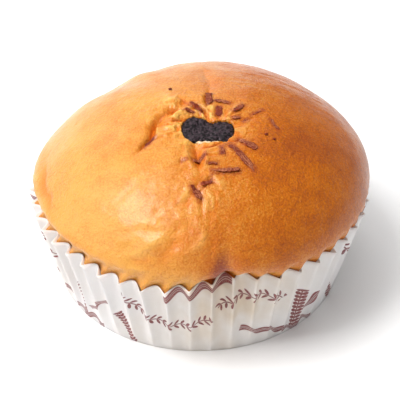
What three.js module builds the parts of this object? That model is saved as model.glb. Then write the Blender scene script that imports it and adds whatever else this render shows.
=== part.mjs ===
// Chocolate cheese bun in its fluted paper cup.
// Millimetres, +Z up. The origin is the middle of the cup's underside, and the front is -Y.

import * as THREE from 'three';
import { mergeVertices } from 'three/addons/utils/BufferGeometryUtils.js';

// Paper cup
const BASE_RADIUS = 42.5;
const RIM_RADIUS = 50;
const CUP_HEIGHT = 28.5;
const FLUTES = 48;
const FLUTE_TURN = -3; // degrees from the front to the first outer tip
const PAPER = 0.4;
const FOLD_WALL = 0.55; // the paper's thickness measured along a radius, across a slanting fold
const FLARE = { size: 1.6, at: -110, width: 13 }; // the rim leans out here
const TUCK = { size: 3.6, at: -79, width: 11 }; // the rim is drawn in here, at the bun's front seam
const TUCK_LIFT = 1.4; // and stands this much higher

// Bun
const GAP = 0.35; // clearance between neighbouring pieces
const DOME_RADIUS = 47.8;
const DOME_CENTRE = { x: 2.05, y: -1.6 };
const DOME_BASE = 29.4;
const DOME_RISE = 29.8;
const DOME_POWER = 1.72; // 2 is a half ellipsoid, less is more pointed
const LIP_HEIGHT = 5.2; // over this height above the rim the crust swells out to the dome

// Opening in the top, with the puckered hollow round it
const HOLE = { x: 2.65, y: -12.2 };
const HOLE_HALF_WIDTH = 3.9;
const HOLE_LENGTHENING = 3.6;
const HOLE_NOTCH = { size: 1.1, at: 70, width: 28 };
const HOLE_NEAR_FULLNESS = { size: 1.3, at: -78, width: 32 };
const HOLLOW_DEPTH = 2.4;
const HOLLOW_RADIUS = 8.5;
const HOLLOW_STRETCH = 1.25;
const PIT_DEPTH = 6;

// Filling
const FILLING_RECESS = 0.7;
const FILLING_CROWN = 0.8;
const CHEESE = { from: -128, to: -52, width: 0.9, height: 1.2, recess: 0.4 };

// Chocolate shreds and crumbs on the crust
const SHRED_THICKNESS = 0.5;
const SHRED_GAP = 0.45;
const SHRED_STATIONS = 7;
const CRUMB_FLATNESS = 0.7;

const rad = THREE.MathUtils.degToRad;

function bump(azimuth, feature) {
  const away = Math.atan2(Math.sin(azimuth - rad(feature.at)), Math.cos(azimuth - rad(feature.at)));
  return feature.size * Math.exp(-((away / rad(feature.width)) ** 2));
}

// Closed surface of revolution whose rings are then placed one vertex at a time.
// Ring 0 is the underside's middle, and the last ring is the top's middle.
function ringedSolid(rings, columns, place) {
  const profile = [];
  for (let ring = 0; ring < rings; ring += 1) {
    const onAxis = ring === 0 || ring === rings - 1;
    profile.push(new THREE.Vector2(onAxis ? 0 : 1, ring));
  }
  const geometry = new THREE.LatheGeometry(profile, columns);
  const position = geometry.getAttribute('position');
  for (let column = 0; column <= columns; column += 1) {
    for (let ring = 0; ring < rings; ring += 1) {
      const { x, y, z } = place(ring, column % columns);
      position.setXYZ(column * rings + ring, x, y, z);
    }
  }
  return welded(geometry);
}

function welded(geometry) {
  geometry.deleteAttribute('normal');
  geometry.deleteAttribute('uv');
  const solid = mergeVertices(geometry, 1e-4);
  solid.computeVertexNormals();
  return solid;
}

function polar(radius, azimuth, height, centre = { x: 0, y: 0 }) {
  return {
    x: centre.x + radius * Math.cos(azimuth),
    y: centre.y + radius * Math.sin(azimuth),
    z: height,
  };
}

// ---- Paper cup -------------------------------------------------------------------------------

// Radius of the flutes' outer tips. `level` is 0 at the base and 1 at the rim.
function tipRadius(azimuth, level) {
  const lean = bump(azimuth, FLARE) - bump(azimuth, TUCK);
  return BASE_RADIUS + (RIM_RADIUS - BASE_RADIUS) * level + lean * level ** 2;
}

// The wall was a flat disc, so the paper that is too long for each flute's pitch folds inwards.
function fluteDepth(level) {
  const slant = level * Math.hypot(CUP_HEIGHT, RIM_RADIUS - BASE_RADIUS);
  const foldLength = (Math.PI * (BASE_RADIUS + slant)) / FLUTES;
  const halfPitch = (Math.PI * (BASE_RADIUS + (RIM_RADIUS - BASE_RADIUS) * level)) / FLUTES;
  return Math.sqrt(Math.max(foldLength ** 2 - halfPitch ** 2, 0));
}

function rimHeight(azimuth) {
  return CUP_HEIGHT + (TUCK_LIFT / TUCK.size) * bump(azimuth, TUCK);
}

function paperCup() {
  const levels = [0, 0.05, 0.25, 0.6, 1];
  const foldPhases = [0, 0.37, 0.63]; // sharp outer tip, then the two edges of the blunt inner fold
  const foldInward = [0, 1, 1];
  const outer = levels.map((level) => ({ level, inset: 0 }));
  const inner = levels.slice(1).reverse().map((level) => ({ level, inset: FOLD_WALL }));
  const wall = [...outer, ...inner, { level: 0, inset: FOLD_WALL, floor: true }];
  const rings = wall.length + 2;
  return ringedSolid(rings, FLUTES * foldPhases.length, (ring, column) => {
    const flute = Math.floor(column / foldPhases.length);
    const fold = column % foldPhases.length;
    const azimuth = rad(((flute + foldPhases[fold]) / FLUTES) * 360 - 90 + FLUTE_TURN);
    if (ring === 0) {
      return polar(0, azimuth, 0);
    }
    if (ring === rings - 1) {
      return polar(0, azimuth, PAPER);
    }
    const { level, inset, floor } = wall[ring - 1];
    const radius = tipRadius(azimuth, level) - foldInward[fold] * fluteDepth(level) - inset;
    return polar(radius, azimuth, floor ? PAPER : level * rimHeight(azimuth));
  });
}

// ---- Bun -------------------------------------------------------------------------------------

function domeHeight(x, y) {
  const reach = Math.hypot(x - DOME_CENTRE.x, y - DOME_CENTRE.y) / DOME_RADIUS;
  const across = Math.min(reach, 1) ** DOME_POWER;
  return DOME_BASE + DOME_RISE * Math.sqrt(1 - across);
}

// Height of the crust, with the shallow hollow round the opening.
function crustHeight(x, y) {
  const along = (x - HOLE.x) / HOLLOW_STRETCH;
  const across = y - HOLE.y;
  const hollow = HOLLOW_DEPTH * Math.exp(-(along ** 2 + across ** 2) / HOLLOW_RADIUS ** 2);
  return domeHeight(x, y) - hollow;
}

// The opening is a peanut outline: long in X, fuller at the left, with a notch in its far side.
function holeRadius(azimuth) {
  const left = 3.2 * Math.max(-Math.cos(azimuth), 0) * Math.sin(azimuth) ** 2;
  const uneven = left + bump(azimuth, HOLE_NEAR_FULLNESS) - bump(azimuth, HOLE_NOTCH);
  return HOLE_HALF_WIDTH + HOLE_LENGTHENING * Math.cos(azimuth) ** 2 + uneven;
}

function onCrust(azimuth, radius, depth) {
  const x = HOLE.x + radius * Math.cos(azimuth);
  const y = HOLE.y + radius * Math.sin(azimuth);
  return { x, y, z: crustHeight(x, y) - depth };
}

// Inside the cup the dough stops just short of the inner folds.
function doughRadius(azimuth, level) {
  return tipRadius(azimuth, level) - fluteDepth(level) - FOLD_WALL - GAP;
}

function bun() {
  const columns = 72;
  const underside = PAPER + GAP;
  const wallLevels = [0.06, 0.2, 0.45, 0.75, 1];
  const domeAngles = [0, 4, 9, 18, 29, 40, 51, 61, 69, 76, 82, 86.5]; // 90 would be the opening
  const pit = [
    { spread: 1, depth: 0 },
    { spread: 0.97, depth: 0.35 * PIT_DEPTH },
    { spread: 0.85, depth: 0.8 * PIT_DEPTH },
    { spread: 0.45, depth: PIT_DEPTH },
  ];
  const steps = [{ kind: 'pole' }, { kind: 'base' }];
  wallLevels.forEach((level) => steps.push({ kind: 'wall', level }));
  domeAngles.forEach((angle) => steps.push({ kind: 'dome', angle }));
  pit.forEach((step) => steps.push({ kind: 'pit', ...step }));
  steps.push({ kind: 'pit', spread: 0, depth: PIT_DEPTH });

  return ringedSolid(steps.length, columns, (ring, column) => {
    const azimuth = (column / columns) * 2 * Math.PI - Math.PI / 2;
    const { kind, level, angle, spread, depth } = steps[ring];
    if (kind === 'pole') {
      return polar(0, azimuth, underside);
    }
    if (kind === 'base') {
      return polar(doughRadius(azimuth, 0) - 1.2, azimuth, underside);
    }
    if (kind === 'wall') {
      return polar(doughRadius(azimuth, level), azimuth, level * rimHeight(azimuth));
    }
    if (kind === 'pit') {
      return onCrust(azimuth, spread * holeRadius(azimuth), depth);
    }
    return swollenOut(azimuth, domePoint(azimuth, angle));
  });
}

// The dome's rings shrink from its widest circle to the opening's outline.
function domePoint(azimuth, angle) {
  const share = Math.cos(rad(angle)) ** (2 / DOME_POWER);
  const radius = THREE.MathUtils.lerp(holeRadius(azimuth), DOME_RADIUS, share);
  const x = THREE.MathUtils.lerp(HOLE.x, DOME_CENTRE.x, share) + radius * Math.cos(azimuth);
  const y = THREE.MathUtils.lerp(HOLE.y, DOME_CENTRE.y, share) + radius * Math.sin(azimuth);
  return { x, y, z: crustHeight(x, y) };
}

// Just above the rim the crust starts at the dough's radius in the cup and swells out to the dome.
function swollenOut(azimuth, { x, y, z }) {
  const rim = rimHeight(azimuth) + 2 * GAP;
  const height = Math.max(z, rim);
  const settled = Math.max(1 - (height - rim) / LIP_HEIGHT, 0) ** 2;
  const start = polar(doughRadius(azimuth, 1), azimuth, height);
  return {
    x: THREE.MathUtils.lerp(x, start.x, settled),
    y: THREE.MathUtils.lerp(y, start.y, settled),
    z: height,
  };
}

// ---- Filling ---------------------------------------------------------------------------------

// Share of the cream cheese's width that the filling gives way by, at one azimuth.
function cheeseShare(azimuth) {
  const degrees = THREE.MathUtils.radToDeg(Math.atan2(Math.sin(azimuth), Math.cos(azimuth)));
  const rise = THREE.MathUtils.smoothstep(degrees, CHEESE.from - 14, CHEESE.from - 4);
  const fall = THREE.MathUtils.smoothstep(degrees, CHEESE.to + 4, CHEESE.to + 14);
  return rise * (1 - fall);
}

function chocolateFilling() {
  const columns = 40;
  const rings = [
    { spread: 0, depth: PIT_DEPTH - GAP - 0.1 },
    { spread: 0.45, depth: PIT_DEPTH - GAP - 0.1 },
    { spread: 0.82, depth: 0.75 * PIT_DEPTH },
    { spread: 0.95, depth: 0.35 * PIT_DEPTH },
    { spread: 1, depth: FILLING_RECESS },
    { spread: 0.85, depth: FILLING_RECESS - 0.55 * FILLING_CROWN },
    { spread: 0.5, depth: FILLING_RECESS - 0.9 * FILLING_CROWN },
    { spread: 0, depth: FILLING_RECESS - FILLING_CROWN },
  ];
  return ringedSolid(rings.length, columns, (ring, column) => {
    const azimuth = (column / columns) * 2 * Math.PI - Math.PI / 2;
    const givesWay = cheeseShare(azimuth) * (CHEESE.width + GAP);
    const edge = holeRadius(azimuth) - GAP - 0.1 - givesWay;
    return onCrust(azimuth, rings[ring].spread * edge, rings[ring].depth);
  });
}

// Extrudes a flat outline by `height` and lays it down on the crust, `lift` above it.
function laidOnCrust(outline, height, lift) {
  const shape = new THREE.Shape(outline);
  const geometry = new THREE.ExtrudeGeometry(shape, { depth: height, bevelEnabled: false });
  const position = geometry.getAttribute('position');
  for (let i = 0; i < position.count; i += 1) {
    const x = position.getX(i);
    const y = position.getY(i);
    position.setZ(i, position.getZ(i) + crustHeight(x, y) + lift);
  }
  return welded(geometry);
}

function creamCheeseEdge() {
  const stations = 12;
  const near = [];
  const far = [];
  for (let i = 0; i <= stations; i += 1) {
    const along = i / stations;
    const azimuth = rad(THREE.MathUtils.lerp(CHEESE.from, CHEESE.to, along));
    const taper = 0.35 + 0.65 * Math.sin(Math.PI * along);
    const outside = holeRadius(azimuth) - GAP;
    const outer = polar(outside, azimuth, 0, HOLE);
    const inner = polar(outside - CHEESE.width * taper, azimuth, 0, HOLE);
    far.push(new THREE.Vector2(outer.x, outer.y));
    near.unshift(new THREE.Vector2(inner.x, inner.y));
  }
  return laidOnCrust([...far, ...near], CHEESE.height, -CHEESE.recess - CHEESE.height);
}

// ---- Chocolate shreds ------------------------------------------------------------------------

// Each strip: middle (x, y), length, width, heading from +X in degrees, and bend along its length.
const SHREDS = [
  { x: 2.9, y: -0.4, length: 5.0, width: 1.7, heading: -90, bend: 6 },
  { x: 6.7, y: -1.9, length: 4.2, width: 1.2, heading: -15, bend: -14 },
  { x: -0.7, y: -4.2, length: 5.2, width: 1.3, heading: -49, bend: 8 },
  { x: -2.6, y: -5.8, length: 2.6, width: 1.0, heading: -25, bend: -12 },
  { x: 5.6, y: -5.6, length: 3.2, width: 1.9, heading: -95, bend: 10 },
  { x: 11.3, y: -4.6, length: 4.0, width: 1.2, heading: 45, bend: 12 },
  { x: 10.4, y: -8.0, length: 2.2, width: 1.1, heading: 19, bend: 0 },
  { x: 13.1, y: -8.7, length: 2.0, width: 0.7, heading: 34, bend: 16 },
  { x: 16.3, y: -5.3, length: 4.7, width: 0.6, heading: 38, bend: -10 },
  { x: 20.7, y: -9.4, length: 4.4, width: 0.9, heading: -57, bend: 50 },
  { x: 13.3, y: -17.9, length: 6.2, width: 1.5, heading: -32, bend: 16 },
  { x: 12.0, y: -22.2, length: 11.2, width: 1.5, heading: -50, bend: -10 },
  { x: 6.5, y: -20.6, length: 3.2, width: 1.6, heading: -86, bend: 8 },
  { x: 0.2, y: -23.0, length: 4.0, width: 1.4, heading: 26, bend: -20 },
  { x: -3.8, y: -24.2, length: 1.7, width: 0.6, heading: 18, bend: 0 },
  { x: 3.9, y: -25.4, length: 2.7, width: 0.9, heading: 1, bend: -30 },
  { x: 7.4, y: -27.8, length: 7.6, width: 1.4, heading: 6, bend: 34 },
  { x: 2.2, y: -30.8, length: 3.0, width: 1.5, heading: 21, bend: 10 },
  { x: -0.6, y: -33.3, length: 4.4, width: 1.4, heading: -53, bend: -12 },
  { x: -13.6, y: -16.5, length: 4.7, width: 1.2, heading: 51, bend: 8 },
];

const CRUMBS = [
  { x: 18.7, y: -13.7, radius: 0.5 },
  { x: 21.0, y: -14.9, radius: 0.45 },
  { x: -8.2, y: 5.1, radius: 0.55 },
];

// A strip with a gently curved centre line and tapered, blunt ends.
function shred({ x, y, length, width, heading, bend }) {
  const left = [];
  const right = [];
  for (let i = 0; i < SHRED_STATIONS; i += 1) {
    const along = i / (SHRED_STATIONS - 1) - 0.5;
    const direction = rad(heading + bend * along);
    const mid = {
      x: x + along * length * Math.cos(rad(heading + (bend * along) / 2)),
      y: y + along * length * Math.sin(rad(heading + (bend * along) / 2)),
    };
    const half = (width / 2) * (1 - 0.55 * (2 * Math.abs(along)) ** 4);
    const side = { x: -Math.sin(direction) * half, y: Math.cos(direction) * half };
    left.unshift(new THREE.Vector2(mid.x + side.x, mid.y + side.y));
    right.push(new THREE.Vector2(mid.x - side.x, mid.y - side.y));
  }
  return laidOnCrust([...right, ...left], SHRED_THICKNESS, SHRED_GAP);
}

function crumb({ x, y, radius }) {
  const geometry = new THREE.SphereGeometry(radius, 8, 6);
  geometry.rotateX(Math.PI / 2);
  geometry.scale(1, 1, CRUMB_FLATNESS);
  geometry.translate(x, y, crustHeight(x, y) + SHRED_GAP + radius);
  return welded(geometry);
}

// ---- Materials -------------------------------------------------------------------------------

function crustMaterial() {
  return new THREE.MeshStandardMaterial({ color: 0xdc8a35, roughness: 0.42, metalness: 0 });
}

function paperMaterial() {
  return new THREE.MeshStandardMaterial({ color: 0xe9e4e0, roughness: 0.75, metalness: 0 });
}

function fillingMaterial() {
  return new THREE.MeshStandardMaterial({ color: 0x3a3133, roughness: 0.7, metalness: 0 });
}

function cheeseMaterial() {
  return new THREE.MeshStandardMaterial({ color: 0xf3e2c4, roughness: 0.5, metalness: 0 });
}

function shredMaterial() {
  return new THREE.MeshStandardMaterial({ color: 0x8a4a38, roughness: 0.55, metalness: 0 });
}

// ---- Assembly --------------------------------------------------------------------------------

function named(name, geometry, material) {
  const mesh = new THREE.Mesh(geometry, material);
  mesh.name = name;
  return mesh;
}

function numbered(name, index) {
  return `${name}_${String(index + 1).padStart(2, '0')}`;
}

const group = new THREE.Group();
group.add(named('paper_cup', paperCup(), paperMaterial()));
group.add(named('bun', bun(), crustMaterial()));
group.add(named('chocolate_filling', chocolateFilling(), fillingMaterial()));
group.add(named('cream_cheese_edge', creamCheeseEdge(), cheeseMaterial()));

const topping = new THREE.Group();
SHREDS.forEach((strip, index) => {
  topping.add(named(numbered('chocolate_shred', index), shred(strip), shredMaterial()));
});
CRUMBS.forEach((piece, index) => {
  topping.add(named(numbered('chocolate_crumb', index), crumb(piece), shredMaterial()));
});
group.add(topping);

export default group;
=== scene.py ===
"""Chocolate cheese bun in a fluted paper cup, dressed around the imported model.

Shapes are worked out in millimetres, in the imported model's frame: +Z is up, the cup stands on z = 0 and
the front is -Y. The bun, the cup, the filling and the shreds are surfaces over two parameters, computed
with numpy.
"""

import logging
import math
from dataclasses import dataclass, field
from enum import Enum

import bpy
import numpy as np
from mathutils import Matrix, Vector


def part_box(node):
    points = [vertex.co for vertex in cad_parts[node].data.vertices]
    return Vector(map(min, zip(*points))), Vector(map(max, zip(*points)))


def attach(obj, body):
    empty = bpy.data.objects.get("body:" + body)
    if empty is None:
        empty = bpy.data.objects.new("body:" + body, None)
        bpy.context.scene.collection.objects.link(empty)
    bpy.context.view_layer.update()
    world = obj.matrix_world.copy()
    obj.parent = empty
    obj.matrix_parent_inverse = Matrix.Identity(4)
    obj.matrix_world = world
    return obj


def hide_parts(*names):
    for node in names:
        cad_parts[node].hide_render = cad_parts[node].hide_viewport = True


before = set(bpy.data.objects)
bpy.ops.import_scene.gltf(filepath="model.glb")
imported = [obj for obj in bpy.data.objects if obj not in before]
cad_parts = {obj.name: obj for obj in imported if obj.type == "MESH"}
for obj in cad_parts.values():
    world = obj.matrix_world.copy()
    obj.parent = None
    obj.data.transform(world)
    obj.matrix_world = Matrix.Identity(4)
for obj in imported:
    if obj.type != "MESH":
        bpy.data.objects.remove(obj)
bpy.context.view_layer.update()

LOG = logging.getLogger("bun")
MM = 0.001
BODY = "root"


# ---- Small mathematics -----------------------------------------------------------------------


def smoothstep(low: float, high: float, value: np.ndarray) -> np.ndarray:
    """Ease from 0 at low to 1 at high, with level ends.

    Args:
        low: Value where the ease starts.
        high: Value where it ends.
        value: The values to ease.

    Returns:
        3t^2 - 2t^3, where t is the share of the way from low to high, held between 0 and 1.
    """
    share = np.clip((value - low) / (high - low), 0.0, 1.0)
    return share * share * (3.0 - 2.0 * share)


def bell(distance: np.ndarray, width: float | np.ndarray) -> np.ndarray:
    """Return exp(-(distance / width)^2), a bump one width wide to 37% of its height."""
    return np.exp(-((distance / width) ** 2))


def turn_between(azimuth: np.ndarray, centre_deg: float) -> np.ndarray:
    """Return the signed angle in degrees from centre_deg to azimuth, between -180 and 180."""
    return (np.degrees(azimuth) - centre_deg + 180.0) % 360.0 - 180.0


def lattice_value(cells: np.ndarray, seed: int) -> np.ndarray:
    """Give each whole-number lattice point its own fixed value.

    Args:
        cells: Whole-number points, in an array whose last axis is X, Y, Z.
        seed: Number that picks one field of values.

    Returns:
        Values from -1 to 1: the coordinates are mixed by multiplying and shifting their bits.
    """
    x, y, z = (cells[..., axis].astype(np.int64).astype(np.uint64) for axis in range(3))
    mixed = x * np.uint64(374761393) + y * np.uint64(668265263) + z * np.uint64(2246822519)
    mixed = (mixed + np.uint64(seed) * np.uint64(3266489917)) & np.uint64(0xFFFFFFFF)
    mixed = ((mixed ^ (mixed >> np.uint64(13))) * np.uint64(1274126177)) & np.uint64(0xFFFFFFFF)
    mixed = mixed ^ (mixed >> np.uint64(16))
    return mixed.astype(float) / float(0x7FFFFFFF) - 1.0


def noise(points: np.ndarray, size: float, seed: int) -> np.ndarray:
    """Smooth random field with lumps of about one size.

    Args:
        points: Points in millimetres, X, Y, Z on the last axis.
        size: Spacing of the field's lattice in millimetres.
        seed: Number that picks the field.

    Returns:
        Values from -1 to 1: the eight lattice values round each point, blended by a smooth ease along each
        axis.
    """
    scaled = points / size
    corner = np.floor(scaled)
    ease = smoothstep(0.0, 1.0, scaled - corner)
    total = np.zeros(points.shape[:-1])
    for dx in (0, 1):
        for dy in (0, 1):
            for dz in (0, 1):
                step = np.array((dx, dy, dz))
                weight = np.prod(np.where(step == 1, ease, 1.0 - ease), axis=-1)
                total += weight * lattice_value(corner + step, seed)
    return total


def rough_noise(points: np.ndarray, size: float, seed: int, octaves: int = 3) -> np.ndarray:
    """Return the sum of noise() fields, each half the size and half the height of the one before."""
    layers = [noise(points, size / 2**k, seed + k) / 2**k for k in range(octaves)]
    return np.sum(layers, axis=0)


@dataclass(frozen=True)
class Lumps:
    """One layer of random lumps.

    Attributes:
        height: Greatest height, in millimetres where it moves a surface.
        size: Size of the lumps in millimetres.
        seed: Number that picks the layer's field.
        octaves: Number of fields, each half the size and height of the one before.
    """

    height: float
    size: float
    seed: int
    octaves: int = 1

    def at(self, points: np.ndarray) -> np.ndarray:
        """Return the layer's value at each point."""
        return self.height * rough_noise(points, self.size, self.seed, self.octaves)

    def crests(self, points: np.ndarray, steepness: float) -> np.ndarray:
        """Return narrow crests where the field is 0: the height times 1 - steepness * |field|."""
        field = rough_noise(points, self.size, self.seed, self.octaves)
        return self.height * (1.0 - steepness * np.abs(field))


def pile(layers: tuple[Lumps, ...], points: np.ndarray) -> np.ndarray:
    """Return the sum of several layers of lumps at each point."""
    return np.sum([layer.at(points) for layer in layers], axis=0)


def plan_points(x: np.ndarray, y: np.ndarray) -> np.ndarray:
    """Return points at height 0 for plan coordinates, X, Y, Z on the last axis."""
    return np.stack([x, y, np.zeros_like(x)], -1)


def smooth_path(points: tuple[tuple[float, float], ...], count: int) -> np.ndarray:
    """Draw a smooth line through a few points.

    Args:
        points: Plan points in millimetres.
        count: Number of points wanted along the line.

    Returns:
        An array of count plan points on the Catmull-Rom curve through the points.
    """
    given = np.asarray(points, float)
    padded = np.vstack([2 * given[0] - given[1], given, 2 * given[-1] - given[-2]])
    place = np.linspace(0.0, len(given) - 1.0, count)
    start = np.minimum(place.astype(int), len(given) - 2)
    t = (place - start)[:, None]
    a, b, c, d = (padded[start + k] for k in range(4))
    cubic = (3 * (b - c) + d - a) * t**3 + (2 * a - 5 * b + 4 * c - d) * t**2 + (c - a) * t + 2 * b
    return cubic / 2.0


# ---- Meshes ----------------------------------------------------------------------------------


@dataclass
class RingSurface:
    """Closed surface made of rings of points, with a point at each end.

    Attributes:
        rings: Points in millimetres, shaped ring, column, XYZ. Columns run counter-clockwise and close up.
        start: The point inside the first ring.
        end: The point inside the last ring.
        values: Named numbers kept on the points, each shaped ring, column.
        flat: Coordinates on the flat sheet, shaped ring, column + 1, two, or None.
    """

    rings: np.ndarray
    start: np.ndarray
    end: np.ndarray
    values: dict[str, np.ndarray] = field(default_factory=dict)
    flat: np.ndarray | None = None

    def faces(self) -> tuple[np.ndarray, np.ndarray]:
        """Number the faces' corners.

        Returns:
            Corner numbers of all faces in one row, and each face's number of corners. Four-cornered faces
            join neighbouring rings, and three-cornered ones close each end.
        """
        count, columns = self.rings.shape[:2]
        here = np.arange(columns)
        after = (here + 1) % columns
        ring = np.arange(count - 1)[:, None] * columns
        quads = np.stack([ring + here, ring + after, ring + columns + after, ring + columns + here], -1)
        start = count * columns
        last = (count - 1) * columns
        first_fan = np.stack([np.full(columns, start), after, here], -1)
        last_fan = np.stack([last + here, last + after, np.full(columns, start + 1)], -1)
        corners = np.concatenate([quads.reshape(-1), first_fan.reshape(-1), last_fan.reshape(-1)])
        sizes = np.concatenate([np.full((count - 1) * columns, 4), np.full(2 * columns, 3)])
        return corners, sizes

    def flat_corners(self) -> np.ndarray:
        """Return the flat coordinates of every face corner, in the order that faces() gives."""
        now, after = self.flat[:, :-1], self.flat[:, 1:]
        quads = np.stack([now[:-1], after[:-1], after[1:], now[1:]], -2)
        first_middle = np.broadcast_to(self.flat[0].mean(0), now[0].shape)
        last_middle = np.broadcast_to(self.flat[-1].mean(0), now[0].shape)
        first = np.stack([first_middle, after[0], now[0]], -2)
        last = np.stack([now[-1], after[-1], last_middle], -2)
        return np.concatenate([part.reshape(-1, 2) for part in (quads, first, last)])

    def mesh(self, name: str) -> bpy.types.Mesh:
        """Write the surface into a new smooth mesh, in metres.

        Args:
            name: Name of the mesh.

        Returns:
            The mesh, with its named numbers as point attributes and its flat coordinates as a UV map.
        """
        points = np.vstack([self.rings.reshape(-1, 3), self.start, self.end]) * MM
        corners, sizes = self.faces()
        mesh = bpy.data.meshes.new(name)
        mesh.vertices.add(len(points))
        mesh.vertices.foreach_set("co", points.astype(np.float32).reshape(-1))
        mesh.loops.add(len(corners))
        mesh.loops.foreach_set("vertex_index", corners.astype(np.int32))
        mesh.polygons.add(len(sizes))
        mesh.polygons.foreach_set("loop_start", np.concatenate([[0], np.cumsum(sizes)[:-1]]).astype(np.int32))
        mesh.polygons.foreach_set("use_smooth", np.ones(len(sizes), bool))
        if self.flat is not None:
            layer = mesh.uv_layers.new(name="FlatSheet")
            layer.uv.foreach_set("vector", self.flat_corners().astype(np.float32).reshape(-1))
        for label, value in self.values.items():
            ends = [value[0].mean(), value[-1].mean()]
            attribute = mesh.attributes.new(label, "FLOAT", "POINT")
            attribute.data.foreach_set("value", np.append(value.reshape(-1), ends).astype(np.float32))
        mesh.update(calc_edges=True)
        mesh.validate()
        return mesh


def place_piece(
    mesh: bpy.types.Mesh, material: bpy.types.Material, nodes: list[str]
) -> bpy.types.Object:
    """Put a finished mesh in the scene as a piece of the bun.

    Args:
        mesh: Mesh whose points are already in place.
        material: Finish of the piece.
        nodes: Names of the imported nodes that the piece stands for.

    Returns:
        The new object, riding on the only body.
    """
    mesh.materials.append(material)
    piece = bpy.data.objects.new(mesh.name, mesh)
    bpy.context.scene.collection.objects.link(piece)
    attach(piece, BODY)
    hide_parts(*nodes)
    LOG.info("%s: %d points, stands for %s", piece.name, len(mesh.vertices), ", ".join(nodes))
    return piece


# ---- Finishes --------------------------------------------------------------------------------


def linear(code: str) -> tuple[float, float, float, float]:
    """Turn an sRGB hex colour into linear light.

    Args:
        code: Colour such as "#C8752A".

    Returns:
        Linear red, green, blue and 1.
    """
    parts = [int(code[k : k + 2], 16) / 255.0 for k in (1, 3, 5)]
    red, green, blue = (c / 12.92 if c <= 0.04045 else ((c + 0.055) / 1.055) ** 2.4 for c in parts)
    return red, green, blue, 1.0


class Kind(str, Enum):
    """The kinds of shader node that the finishes use."""

    SHADER = "ShaderNodeBsdfPrincipled"
    OUTPUT = "ShaderNodeOutputMaterial"
    COORDINATES = "ShaderNodeTexCoord"
    ATTRIBUTE = "ShaderNodeAttribute"
    UV = "ShaderNodeUVMap"
    MAPPING = "ShaderNodeMapping"
    NOISE = "ShaderNodeTexNoise"
    CELLS = "ShaderNodeTexVoronoi"
    MATH = "ShaderNodeMath"
    VECTOR = "ShaderNodeVectorMath"
    SPLIT = "ShaderNodeSeparateXYZ"
    JOIN = "ShaderNodeCombineXYZ"
    RANGE = "ShaderNodeMapRange"
    MIX = "ShaderNodeMix"
    RAMP = "ShaderNodeValToRGB"
    BUMP = "ShaderNodeBump"


def add(
    tree: bpy.types.NodeTree, kind: Kind, inputs: dict | None = None, **settings: object
) -> bpy.types.Node:
    """Add a node with its settings and its links.

    Args:
        tree: Node tree to add to.
        kind: Kind of node.
        inputs: Value or source socket of each input, by the input's name or number.
        settings: Other settings of the node, by name.

    Returns:
        The new node.
    """
    made = tree.nodes.new(kind.value)
    for name, value in settings.items():
        setattr(made, name, value)
    for name, value in (inputs or {}).items():
        if isinstance(value, bpy.types.Node):
            value = next(socket for socket in value.outputs if socket.enabled)
        if isinstance(value, bpy.types.NodeSocket):
            tree.links.new(value, made.inputs[name])
        else:
            made.inputs[name].default_value = value
    return made


def new_material(name: str) -> bpy.types.Material:
    """Return an empty material with that name and nodes turned on."""
    material = bpy.data.materials.new(name)
    material.use_nodes = True
    material.node_tree.nodes.clear()
    return material


def finish_shader(tree: bpy.types.NodeTree, inputs: dict) -> None:
    """Add the shader with its inputs, and link it to the material's output."""
    shader = add(tree, Kind.SHADER, inputs)
    add(tree, Kind.OUTPUT, {"Surface": shader})


def set_stops(ramp: bpy.types.Node, stops: tuple[tuple[float, str], ...]) -> None:
    """Give a colour ramp its stops, each a place from 0 to 1 and a hex colour."""
    elements = ramp.color_ramp.elements
    for position, _ in stops[1:-1]:
        elements.new(position)
    for element, (position, code) in zip(elements, stops):
        element.position = position
        element.color = linear(code)


def per_metre(size_mm: float) -> float:
    """Return the texture scale that gives features of size_mm on coordinates in metres."""
    return 1.0 / (size_mm * MM)


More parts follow.
